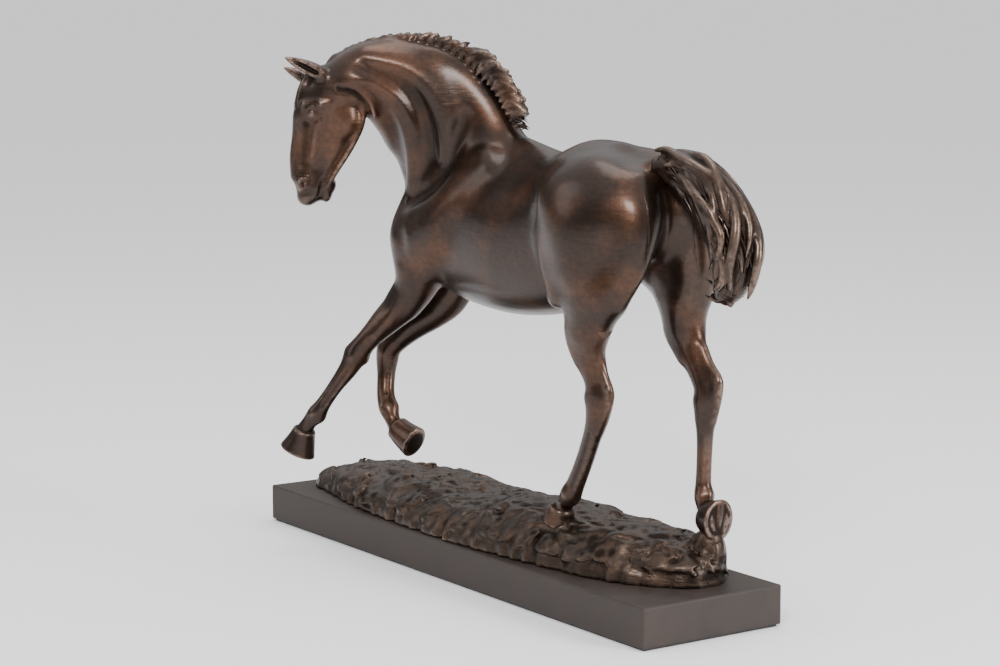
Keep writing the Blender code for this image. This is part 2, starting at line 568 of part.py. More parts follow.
def felt():
    length, width = plinth_size()
    return slab("felt_base", length - 2 * FELT_INSET, width - 2 * FELT_INSET, 0, FELT_THICKNESS, FELT)


def mounting_hardware():
    """A stud, a washer and a nut at each place, from the boss down into the counterbore."""
    for place, (x, y) in zip(("front", "rear"), stud_places()):
        seat = LIFT + counterbore_depth()
        low = LIFT + FIT_GAP
        top = PLINTH_TOP + STUD_ENGAGEMENT - 2 * FIT_GAP
        new_object(f"{place}_stud", rod_mesh((x, y, low), (0, 0, 1), STUD_DIAMETER, top - low), STEEL)
        washer_low = seat - FIT_GAP - WASHER_THICKNESS
        washer = new_object(f"{place}_washer", rod_mesh((x, y, washer_low), (0, 0, 1), WASHER_DIAMETER,
                                                        WASHER_THICKNESS), STEEL)
        nut_low = washer_low - FIT_GAP - NUT_HEIGHT
        corners = NUT_WIDTH / math.cos(math.pi / 6)
        nut = new_object(f"{place}_nut", rod_mesh((x, y, nut_low), (0, 0, 1), corners, NUT_HEIGHT, 6),
                         STEEL, smooth=False)
        for ring in (washer, nut):
            drill(ring, (x, y, low), (0, 0, 1), STUD_DIAMETER, seat - low + FIT_GAP)


def main():
    clear_scene()
    torso = torso_casting()
    head_and_neck_casting()
    legs = leg_castings()
    tail = tail_casting()
    ground = ground_casting()
    neck_sleeve()
    for joint, leg in legs.items():
        dowel(f"{joint}_dowel", joint, LEG_DOWEL_DIAMETER, (torso, leg))
    dowel("tail_dowel", "tail", LEG_DOWEL_DIAMETER, (torso, tail))
    hoof_stud("left_hind_hoof_stud", LEFT_HOOF_STUD, (legs["left_hindleg"], ground))
    hoof_stud("right_hind_hoof_stud", RIGHT_HOOF_STUD, (legs["right_hindleg"], ground))
    plinth()
    felt()
    mounting_hardware()


main()
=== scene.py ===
"""Looks of the bronze horse statuette: the castings modelled in fine clay, the cast ground, the plinth,
the finishes, the studio and the camera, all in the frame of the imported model."""

from __future__ import annotations

import sys

import json
import logging
import math
from dataclasses import dataclass, field
from enum import Enum

import bmesh
import bpy
import numpy as np
import openvdb
from mathutils import Matrix, Vector

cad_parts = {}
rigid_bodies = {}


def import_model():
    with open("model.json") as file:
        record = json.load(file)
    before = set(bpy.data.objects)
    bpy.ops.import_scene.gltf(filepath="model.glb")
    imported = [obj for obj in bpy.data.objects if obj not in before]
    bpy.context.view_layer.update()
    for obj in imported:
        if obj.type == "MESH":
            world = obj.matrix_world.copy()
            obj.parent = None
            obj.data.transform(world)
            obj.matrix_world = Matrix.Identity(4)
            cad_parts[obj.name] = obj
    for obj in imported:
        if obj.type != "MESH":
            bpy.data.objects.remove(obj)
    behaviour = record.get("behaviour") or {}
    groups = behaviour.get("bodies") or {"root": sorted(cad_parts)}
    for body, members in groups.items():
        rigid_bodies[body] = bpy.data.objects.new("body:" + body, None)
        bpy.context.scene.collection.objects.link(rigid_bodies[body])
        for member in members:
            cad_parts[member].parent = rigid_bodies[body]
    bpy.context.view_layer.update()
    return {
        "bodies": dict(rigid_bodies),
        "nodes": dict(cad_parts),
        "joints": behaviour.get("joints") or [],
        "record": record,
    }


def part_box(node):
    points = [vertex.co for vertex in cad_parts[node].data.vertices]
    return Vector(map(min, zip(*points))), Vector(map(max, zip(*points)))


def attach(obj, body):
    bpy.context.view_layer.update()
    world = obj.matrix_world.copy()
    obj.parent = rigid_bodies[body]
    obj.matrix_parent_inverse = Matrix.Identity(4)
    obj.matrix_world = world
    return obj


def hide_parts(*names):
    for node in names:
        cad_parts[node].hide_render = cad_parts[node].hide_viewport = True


LOG = logging.getLogger("statuette")
MM = 0.001
FAR = 30.0              # distance, in millimetres, of clay that isn't there
SLIMMEST = 0.15         # least half size of a stroke, in millimetres
SHARPEST = math.radians(65)     # an edge that bends more than this is drawn as an edge
ACROSS = (0.0, 1.0, 0.0)
ALONG = (1.0, 0.0, 0.0)
NOWHERE = (0.0, 0.0, 0.0)

Station = tuple[float, ...]


class Mode(Enum):
    """What a stroke does to the clay."""

    ADD = 1
    CARVE = -1


@dataclass(frozen=True)
class Stroke:
    """A tapering elliptical roll of clay.

    A station is x, y, z, then the half width along the side axis, then the half depth on the two
    sides of it, all in millimetres. A last size that only repeats the one before it is left out.
    Blend is the width over which the roll melts into the clay round it.
    """

    stations: tuple[Station, ...]
    side: tuple = ACROSS
    blend: float = 6.0
    square: float = 2.0
    dome: float = 0.8
    steps: int = 5
    mode: Mode = Mode.ADD


def full(station: Station) -> Station:
    """A station with all its sizes: a single one is round, and two are half width and half depth."""
    sizes = tuple(station[3:])
    return (*station[:3], sizes[0], sizes[min(1, len(sizes) - 1)], sizes[-1])


def spline(rows: np.ndarray, steps: int) -> np.ndarray:
    """Catmull-Rom curve through rows.

    Args:
        rows: one row of numbers for each point.
        steps: parts that each stretch between two points is cut into.

    Returns:
        The rows of the curve, ends included.
    """
    ends = np.vstack([2 * rows[0] - rows[1], rows, 2 * rows[-1] - rows[-2]])
    out = []
    for index in range(len(rows) - 1):
        a, b, c, d = ends[index:index + 4]
        for step in range(steps):
            t = step / steps
            out.append(0.5 * (2 * b + (c - a) * t + (2 * a - 5 * b + 4 * c - d) * t * t
                              + (3 * b - a - 3 * c + d) * t ** 3))
    return np.array(out + [rows[-1]])


def crosswise(centres: np.ndarray, side: tuple) -> tuple[np.ndarray, np.ndarray]:
    """Unit vectors square to a line of points, at each of them.

    Args:
        centres: the points.
        side: direction that the first vectors point to as nearly as they can.

    Returns:
        The vectors towards the side, and those square to them and to the line.
    """
    run = np.gradient(centres, axis=0)
    run /= np.linalg.norm(run, axis=1)[:, None]
    across = np.array(side) - (run @ np.array(side))[:, None] * run
    across /= np.linalg.norm(across, axis=1)[:, None]
    return across, np.cross(run, across)


class Clay:
    """A block of modelling clay: signed distances to its surface on a grid, in millimetres."""

    def __init__(self, low: Station, high: Station, grain: float) -> None:
        """Makes an empty block.

        Args:
            low: lowest corner.
            high: highest corner.
            grain: size of a grid cell.
        """
        self.grain = grain
        self.low = np.array(low, float)
        self.count = np.ceil((np.array(high, float) - self.low) / grain).astype(int) + 1
        self.distance = np.full(tuple(self.count), FAR, np.float32)

    def window(self, low: np.ndarray, high: np.ndarray) -> tuple[np.ndarray, np.ndarray]:
        """Grid indices of the first and past the last cell of a box."""
        first = np.floor((low - self.low) / self.grain).astype(int)
        last = np.ceil((high - self.low) / self.grain).astype(int) + 1
        return np.clip(first, 0, self.count), np.clip(last, 0, self.count)

    def axes(self, first: np.ndarray, last: np.ndarray) -> list[np.ndarray]:
        """Open grids of x, y and z for a window."""
        lines = [(self.low[k] + self.grain * np.arange(first[k], last[k])).astype(np.float32)
                 for k in range(3)]
        return list(np.ix_(*lines))

    def model(self, stroke: Stroke) -> None:
        """Adds or carves one stroke."""
        one_side = not isinstance(stroke.side[0], tuple)
        sides = (stroke.side,) * len(stroke.stations) if one_side else stroke.side
        table = np.array([full(station) + tuple(side) for station, side in zip(stroke.stations, sides)], float)
        rows = spline(table, stroke.steps)
        centre, sizes, across = rows[:, :3], np.maximum(rows[:, 3:6], SLIMMEST), rows[:, 6:9]
        reach = sizes.max(axis=1) + stroke.blend + 2 * self.grain
        first, last = self.window((centre - reach[:, None]).min(0), (centre + reach[:, None]).max(0))
        if (last <= first).any():
            return
        found = np.full(tuple(last - first), FAR, np.float32)
        for k in range(len(centre) - 1):
            self._segment(found, first, last, centre[k:k + 2], sizes[k:k + 2], across[k:k + 2],
                          max(reach[k], reach[k + 1]), stroke)
        self._melt(first, last, found, stroke)

    def _segment(self, found: np.ndarray, first: np.ndarray, last: np.ndarray, ends: np.ndarray,
                 sizes: np.ndarray, across: np.ndarray, reach: float, stroke: Stroke) -> None:
        """Lowers found to the distance of one straight stretch of a stroke."""
        start, stop = self.window(ends.min(0) - reach, ends.max(0) + reach)
        start, stop = np.maximum(start, first), np.minimum(stop, last)
        run = ends[1] - ends[0]
        length = float(np.linalg.norm(run))
        if (stop <= start).any() or length < 1e-6:
            return
        x, y, z = self.axes(start, stop)
        x, y, z = x - np.float32(ends[0, 0]), y - np.float32(ends[0, 1]), z - np.float32(ends[0, 2])
        forward = (run / length).astype(np.float32)
        wide = across.sum(0) - across.sum(0) @ forward * forward
        wide = (wide / np.linalg.norm(wide)).astype(np.float32)
        deep = np.cross(forward, wide).astype(np.float32)
        along = x * forward[0] + y * forward[1] + z * forward[2]
        share = np.clip(along / length, 0, 1)
        past = along - share * length
        u = x * wide[0] + y * wide[1] + z * wide[2]
        v = x * deep[0] + y * deep[1] + z * deep[2]
        half = sizes[0, 0] + (sizes[1, 0] - sizes[0, 0]) * share
        above = sizes[0, 1] + (sizes[1, 1] - sizes[0, 1]) * share
        below = sizes[0, 2] + (sizes[1, 2] - sizes[0, 2]) * share
        depth = np.where(v > 0, above, below)
        cap = np.minimum(half, depth) * stroke.dome
        radius = np.sqrt(u * u + v * v + past * past) + 1e-5
        power = stroke.square
        if power == 2.0:
            ratio = np.sqrt((u / half) ** 2 + (v / depth) ** 2 + (past / cap) ** 2) + 1e-5
        else:
            ratio = (np.abs(u / half) ** power + np.abs(v / depth) ** power
                     + np.abs(past / cap) ** power) ** (1 / power) + 1e-5
        gap = np.where(ratio < 0.4, (ratio - 1) * np.minimum(half, depth), (ratio - 1) * radius / ratio)
        cells = tuple(slice(start[k] - first[k], stop[k] - first[k]) for k in range(3))
        np.minimum(found[cells], gap.astype(np.float32), out=found[cells])

    def _melt(self, first: np.ndarray, last: np.ndarray, found: np.ndarray, stroke: Stroke) -> None:
        """Joins or carves the found distances, with a soft fillet."""
        cells = tuple(slice(first[k], last[k]) for k in range(3))
        here = self.distance[cells]
        width = max(stroke.blend, 0.01)
        if stroke.mode is Mode.ADD:
            mix = np.maximum(width - np.abs(here - found), 0) / width
            self.distance[cells] = np.minimum(here, found) - mix * mix * width / 4
        else:
            mix = np.maximum(width - np.abs(here + found), 0) / width
            self.distance[cells] = np.maximum(here, -found) + mix * mix * width / 4

    def soften(self, rounds: int = 1) -> None:
        """Blurs the distances a little, which takes the edge off every crease."""
        for _ in range(rounds):
            self.distance = self.blurred(self.distance)

    def heap(self, heights: np.ndarray) -> None:
        """Fills the block up to a height for each of its x and y."""
        slope_x, slope_y = np.gradient(heights, self.grain)
        steep = 1 / np.sqrt(1 + slope_x ** 2 + slope_y ** 2)
        z = self.low[2] + self.grain * np.arange(self.count[2])
        gap = (z[None, None, :] - heights[:, :, None]) * steep[:, :, None]
        np.minimum(self.distance, gap.astype(np.float32), out=self.distance)

    @staticmethod
    def blurred(field_values: np.ndarray) -> np.ndarray:
        """Average of each cell with its neighbours along the three axes."""
        out = field_values.copy()
        for axis in range(3):
            inner, before, after = ([slice(None)] * 3 for _ in range(3))
            inner[axis], before[axis], after[axis] = slice(1, -1), slice(0, -2), slice(2, None)
            inner, before, after = tuple(inner), tuple(before), tuple(after)
            out[inner] = (out[before] + 2 * out[inner] + out[after]) / 4
        return out

    def curvature(self, points: np.ndarray, rounds: int) -> np.ndarray:
        """Curvature of the surface: above 0 on ridges and below 0 in creases, per millimetre.

        Args:
            points: points on the surface.
            rounds: how often it is averaged with its neighbours.

        Returns:
            One number for each point.
        """
        d = self.distance
        bend = np.zeros_like(d)
        bend[1:-1, 1:-1, 1:-1] = (d[2:, 1:-1, 1:-1] + d[:-2, 1:-1, 1:-1] + d[1:-1, 2:, 1:-1]
                                  + d[1:-1, :-2, 1:-1] + d[1:-1, 1:-1, 2:] + d[1:-1, 1:-1, :-2]
                                  - 6 * d[1:-1, 1:-1, 1:-1]) / self.grain ** 2
        skin = (np.abs(d) < 2 * self.grain).astype(np.float32)
        bend = np.clip(bend, -0.8, 0.8) * skin
        for _ in range(rounds):
            bend, skin = self.blurred(bend), self.blurred(skin)
        bend /= np.maximum(skin, 1e-3)
        index = np.clip(np.rint((points - self.low) / self.grain).astype(int), 0, self.count - 1)
        return bend[index[:, 0], index[:, 1], index[:, 2]]

    def surface(self) -> tuple[np.ndarray, list[tuple[int, ...]]]:
        """The clay's skin.

        Returns:
            Its points in millimetres, and its faces.
        """
        grid = openvdb.FloatGrid(FAR)
        grid.copyFromArray(self.distance)
        points, triangles, quads = grid.convertToPolygons(isovalue=0.0, adaptivity=0.0)
        faces = [tuple(face) for face in triangles.tolist() + quads.tolist()]
        return np.array(points, float) * self.grain + self.low, faces


def carve(stations: tuple[Station, ...], side: tuple = ACROSS, blend: float = 2.0, **more: float) -> Stroke:
    """A stroke that takes clay away."""
    return Stroke(stations, side, blend, mode=Mode.CARVE, **more)


def ball(middle: Station, sizes: Station, side: tuple = ACROSS, along: tuple = (0.0, 0.0, 1.0),
         blend: float = 3.0, mode: Mode = Mode.ADD) -> Stroke:
    """An ellipsoid.

    Args:
        middle: its middle.
        sizes: half sizes along the side axis, along the third axis and along the long axis.
        side: direction of the first half size.
        along: direction of the long axis.
        blend: width of the fillet round it.
        mode: whether it adds or carves.

    Returns:
        The stroke.
    """
    wide, deep, long = sizes
    start, stop = (tuple(middle[k] + sign * 0.05 * along[k] for k in range(3)) for sign in (-1, 1))
    thin = min(wide, deep)
    return Stroke(((*start, wide, deep), (*stop, wide, deep)), side, blend, dome=long / thin, steps=1,
                  mode=mode)


@dataclass
class HeadFrame:
    """The place and turn of the head: forward of the poll, to its left, and height above the base."""

    poll: tuple[float, float] = (76.0, 84.0)
    turn: float = math.radians(62)

    @property
    def ahead(self) -> tuple[float, float, float]:
        """Direction that the face looks in."""
        return (math.cos(self.turn), math.sin(self.turn), 0.0)

    @property
    def left(self) -> tuple[float, float, float]:
        """Direction to the left of the head."""
        return (-math.sin(self.turn), math.cos(self.turn), 0.0)

    def at(self, forward: float, leftward: float, height: float) -> tuple[float, float, float]:
        """A point of the head in the statuette's own axes."""
        x = self.poll[0] + self.ahead[0] * forward + self.left[0] * leftward
        y = self.poll[1] + self.ahead[1] * forward + self.left[1] * leftward
        return (x, y, height)

    def near(self, origin: Station, row: Station, hand: int) -> tuple[float, float, float]:
        """A point that is row away from origin, mirrored for a hand of -1."""
        return self.at(origin[0] + row[0], hand * (origin[1] + row[1]), origin[2] + row[2])

    def roll(self, rows: tuple[Station, ...], hand: int = 1, origin: Station = NOWHERE,
             **more: object) -> Stroke:
        """A stroke through forward, leftward, height and size rows, counted from an origin."""
        stations = tuple((*self.near(origin, row, hand), *row[3:]) for row in rows)
        return Stroke(stations, self.left, **more)

    def pat(self, middle: Station, sizes: Station, hand: int = 1, origin: Station = NOWHERE,
            **more: object) -> Stroke:
        """An ellipsoid with half sizes leftward, forward and in height."""
        return ball(self.near(origin, middle, hand), sizes, self.left, **more)


@dataclass
class Neck:
    """The neck, from pairs of crest and underline points with the half width between them."""

    pairs: tuple = (((-12, -3, 266), (82, 8, 200), 24), ((-10, -1, 284), (84, 11, 226), 22),
                    ((4, 4, 305), (80, 19, 246), 20), ((20, 13, 322), (75, 34, 262), 18.5),
                    ((40, 28, 331), (69, 48, 275), 17.5), ((57, 46, 333), (63, 60, 284), 16.5),
                    ((70, 66, 327), (61, 70, 290), 15.5), ((78, 80, 316), (68, 76, 292), 14))
    centres: np.ndarray = field(init=False)
    depths: np.ndarray = field(init=False)
    sides: np.ndarray = field(init=False)

    def __post_init__(self) -> None:
        """Works out the middle, the depth vector and the side of each section."""
        crest = np.array([pair[0] for pair in self.pairs], float)
        under = np.array([pair[1] for pair in self.pairs], float)
        self.centres = (crest + under) / 2
        run = np.gradient(self.centres, axis=0)
        run /= np.linalg.norm(run, axis=1)[:, None]
        depth = (crest - under) / 2
        self.depths = depth - (depth * run).sum(1)[:, None] * run
        side = np.cross(self.depths, run)
        self.sides = side / np.linalg.norm(side, axis=1)[:, None]

    def core(self) -> Stroke:
        """The mass of the neck."""
        half = np.linalg.norm(self.depths, axis=1)
        stations = tuple((*c, pair[2], h) for c, pair, h in zip(self.centres, self.pairs, half))
        return Stroke(stations, tuple(map(tuple, self.sides)), 8.0, dome=0.9, steps=8)

    def at(self, place: float, rise: float, out: float) -> tuple[float, float, float]:
        """A point by section number, share of the depth towards the crest and share of the width."""
        keys = np.arange(len(self.pairs))

        def mixed(rows: np.ndarray) -> np.ndarray:
            return np.array([np.interp(place, keys, rows[:, k]) for k in range(3)])

        width = np.interp(place, keys, [pair[2] for pair in self.pairs])
        point = mixed(self.centres) + rise * mixed(self.depths) + out * width * mixed(self.sides)
        return tuple(point)

    def roll(self, rows: tuple[Station, ...], hand: int, blend: float = 5.0,
             mode: Mode = Mode.ADD) -> Stroke:
        """A stroke through section, rise, out and radius rows."""
        stations = tuple((*self.at(row[0], row[1], hand * row[2]), row[3]) for row in rows)
        return Stroke(stations, (0.3, 0.3, 0.9), blend, steps=6, mode=mode)

    def strokes(self) -> list[Stroke]:
        """The neck with its muscles, the groove of the jugular and the windpipe."""
        def muscles(hand: int) -> list[Stroke]:
            return [
                self.roll(((6.6, 0.1, 0.55, 4), (5.4, 0.0, 0.76, 5.5), (4.0, -0.2, 0.8, 6.5),
                           (2.6, -0.36, 0.78, 7.5), (1.2, -0.46, 0.78, 8), (0.3, -0.5, 0.8, 8)), hand, 7),
                self.roll(((5.6, 0.55, 0.5, 5), (4.2, 0.42, 0.62, 7), (2.8, 0.3, 0.66, 8.5),
                           (1.4, 0.25, 0.7, 9)), hand, 10),
                self.roll(((5.6, -0.5, 1.12, 4), (4.0, -0.66, 1.0, 4.6), (2.6, -0.74, 0.94, 5),
                           (1.3, -0.8, 0.86, 5)), hand, 4, Mode.CARVE),
                self.roll(((5.8, 0.3, 1.22, 4), (4.2, 0.14, 1.24, 4.8), (2.8, 0.0, 1.25, 5),
                           (1.5, -0.08, 1.25, 5)), hand, 5, Mode.CARVE),
                self.roll(((2.2, 0.62, 1.03, 4.4), (1.2, 0.2, 1.26, 5), (0.6, -0.1, 1.34, 5.4),
                           (0.3, -0.5, 1.3, 5)), hand, 7, Mode.CARVE),
            ]
        return [self.core()] + both(muscles)


def both(make: object) -> list[Stroke]:
    """The strokes that make gives for the left hand, 1, and the right hand, -1."""
    return [stroke for hand in (1, -1) for stroke in make(hand)]


@dataclass
class Trunk:
    """Barrel, shoulders and hindquarters."""

    low: tuple = (-172, -58, 152)
    high: tuple = (100, 58, 300)

    def strokes(self) -> list[Stroke]:
        """All the clay of the trunk."""
        return self.barrel() + both(self.hindquarter) + both(self.forehand)

    def barrel(self) -> list[Stroke]:
        """Barrel, back, withers and breast."""
        return [
            Stroke(((-142, -1, 236, 24, 24, 26), (-125, -1, 236, 31, 33, 36), (-100, -2, 231, 35, 42, 44),
                    (-78, -3, 225, 34.5, 42, 48.5), (-52, -4, 219, 36.5, 44, 51), (-25, -4, 217, 38, 47, 53),
                    (0, -3, 217, 36.5, 49, 53), (28, 0, 218, 33, 49, 50), (49, 4, 219, 28, 44, 42),
                    (62, 7, 219, 21, 34, 31)), square=2.15, dome=0.7, steps=6),
            Stroke(((-62, -4, 252, 9, 8, 12), (-40, -4, 257, 9, 10, 14), (-18, -3, 261.5, 9, 12, 16),
                    (4, -1, 264, 9, 14, 18), (22, 2, 266, 8, 12, 18)), blend=14),
            Stroke(((64, 14, 196, 11, 12), (69.6, 16, 212, 12), (68, 16, 230, 10, 12)), blend=10),
            Stroke(((65, -3, 196, 11, 12), (71.6, -2, 212, 12), (70, 0, 230, 10, 12)), blend=10),
            carve(((84, 6, 232, 2), (87, 6, 214, 3, 4), (80, 6, 196, 2, 3)), blend=5),
            carve(((-154, -4, 266, 1), (-171, -4.5, 250, 2, 3), (-172, -4.5, 222, 2, 4),
                   (-162, -4, 198, 2, 5), (-150, -3, 186, 2, 6)), blend=5),
            Stroke(((-118, -1, 268, 7, 7, 8), (-95, -2, 268, 9, 6, 10), (-74, -3, 262, 9, 6, 10)), blend=12),
        ]

    def hindquarter(self, hand: int) -> list[Stroke]:
        """Haunch, thigh, stifle and flank of one side."""
        if hand > 0:
            return [
                Stroke(((-96, 17, 246, 20), (-118, 20, 241, 23, 29, 30), (-138, 20, 233, 20, 27, 30),
                        (-149, 17, 226, 15, 20, 24)), blend=15),
                Stroke(((-112, 22, 240, 26, 17, 19), (-122, 23, 224, 34, 17, 21), (-128, 24, 206, 31, 15, 18),
                        (-131, 27, 190, 25, 12, 14), (-128, 27, 176, 18, 11),
                        (-125, 27, 166, 14.5, 10)), ALONG, 13),
                Stroke(((-92, 31, 222, 10, 8, 7), (-99, 34, 202, 12, 8), (-107, 33, 186, 10, 7)), ALONG, 11),
                Stroke(((-106, 32, 246, 12, 8), (-119, 36, 226, 17, 7), (-123, 36, 204, 13, 6)),
                       ALONG, 14),
                Stroke(((-152, 10, 252, 8), (-160, 15, 232, 9), (-158, 20, 208, 9, 8, 9),
                        (-149, 26, 188, 6)), ALONG, 13),
                self._hollow(((-84, 38, 240), (-83, 40, 226), (-87, 41, 206), (-93, 39, 190)), 1, 9),
            ]
        return [
            Stroke(((-100, -18, 246, 20), (-122, -22, 241, 23, 29, 30), (-142, -22, 233, 20, 27, 30),
                    (-153, -19, 226, 15, 20, 24)), blend=15),
            Stroke(((-122, -24, 240, 26, 19, 17), (-136, -25, 224, 28, 19, 16), (-143, -25, 206, 27, 17, 15),
                    (-148, -24, 190, 21, 13), (-151, -24, 176, 15, 11),
                    (-153, -24, 166, 12, 10)), ALONG, 13),
            Stroke(((-102, -31, 228, 9, 7), (-111, -32, 210, 11, 8), (-124, -32, 190, 10, 8)), ALONG, 12),
            Stroke(((-154, -16, 252, 8), (-163, -21, 232, 9), (-164, -23, 208, 9),
                    (-161, -24, 188, 6, 7)), ALONG, 13),
            self._hollow(((-88, -40, 240), (-90, -42, 224), (-98, -40, 206)), -1, 9),
        ]

    @staticmethod
    def _hollow(points: tuple, hand: int, blend: float = 7.0, radius: float = 5.0) -> Stroke:
        """A wide shallow groove along points just outside the skin."""
        return carve(tuple((x, y + hand * radius * 0.72, z, radius) for x, y, z in points), ALONG, blend)

    def forehand(self, hand: int) -> list[Stroke]:
        """Shoulder blade, shoulder and upper arm muscles of one side."""
        if hand > 0:
            return [
                Stroke(((-4, 14, 260, 8), (14, 21, 247, 9), (34, 26, 233, 10),
                        (52, 29, 218, 11), (60, 30, 206, 11)), ALONG, 12),
                Stroke(((-14, 16, 254, 7), (4, 23, 239, 9, 8), (24, 28, 224, 10, 8.5),
                        (44, 31, 210, 10, 9)), ALONG, 10),
                Stroke(((10, 22, 230, 9), (26, 27, 214, 13, 12), (40, 28, 198, 13, 11),
                        (44, 28, 186, 9, 8)), ALONG, 10),
                Stroke(((36, 30, 216, 7), (46, 33, 203, 8, 7), (52, 33, 190, 8, 6.5),
                        (54, 32, 180, 7, 6)), ALONG, 8),
                Stroke(((62, 24, 226, 11, 10), (65, 27, 212, 13, 11), (62, 29, 198, 13, 11),
                        (58, 29, 186, 13, 11), (58, 29, 177, 13, 10.5), (66, 33, 164, 11.6, 9)),
                       (0.9, 0.3, 0.1), 9),
            ]
        return [
            Stroke(((-4, -20, 260, 8), (16, -26, 247, 9), (36, -27, 233, 10),
                    (56, -25, 218, 11), (68, -20, 206, 11)), ALONG, 12),
            Stroke(((-12, -22, 254, 7), (6, -28, 239, 9, 8), (28, -30, 224, 10, 8.5),
                    (50, -29, 210, 10, 9)), ALONG, 10),
            Stroke(((14, -26, 230, 9), (34, -29, 213, 13, 12), (52, -26, 196, 13, 11),
                    (58, -19, 184, 9, 8)), ALONG, 10),
            Stroke(((66, -14, 226, 12, 10), (72, -13, 212, 13, 11), (72, -13, 196, 13, 11),
                    (72, -12, 182, 13, 11), (76, -9, 169, 12.5, 10), (80, -4, 163, 11.6, 9.4)),
                   (0.8, 0.4, 0.2), 9),
        ]


def hair_paths(centres: np.ndarray, across: np.ndarray, deep: np.ndarray, count: int, twist: float,
               rng: np.random.Generator, wander: float) -> list[np.ndarray]:
    """Paths of locks that run along a tapering body of hair.

    Args:
        centres: points of the body's middle line.
        across: half width vector at each of them.
        deep: half depth vector at each of them.
        count: how many locks go round it.
        twist: turn of a lock round the body over its length.
        rng: source of the unevenness.
        wander: how far a lock strays, in millimetres.

    Returns:
        One array of points for each lock.
    """
    paths = []
    keys = np.arange(len(centres))
    for number in range(count):
        turn = math.tau * (number + rng.uniform(-0.35, 0.35)) / count
        start = rng.uniform(0, 0.5)
        stop = min(start + rng.uniform(0.35, 0.55), 1.0)
        share = np.linspace(start, stop, 9)
        place = share * (len(centres) - 1)
        angle = turn + twist * share + rng.uniform(0.15, 0.4) * np.sin(share * 11 + number)
        reach = rng.uniform(0.84, 0.98)

        def mixed(rows: np.ndarray) -> np.ndarray:
            return np.stack([np.interp(place, keys, rows[:, k]) for k in range(3)], axis=1)

        path = mixed(centres) + reach * (np.cos(angle)[:, None] * mixed(across)
                                         + np.sin(angle)[:, None] * mixed(deep))
        stray = rng.normal(0, wander, 3)
        path += np.sin(share * 5 + number * 1.7)[:, None] * stray
        paths.append(path)
    return paths


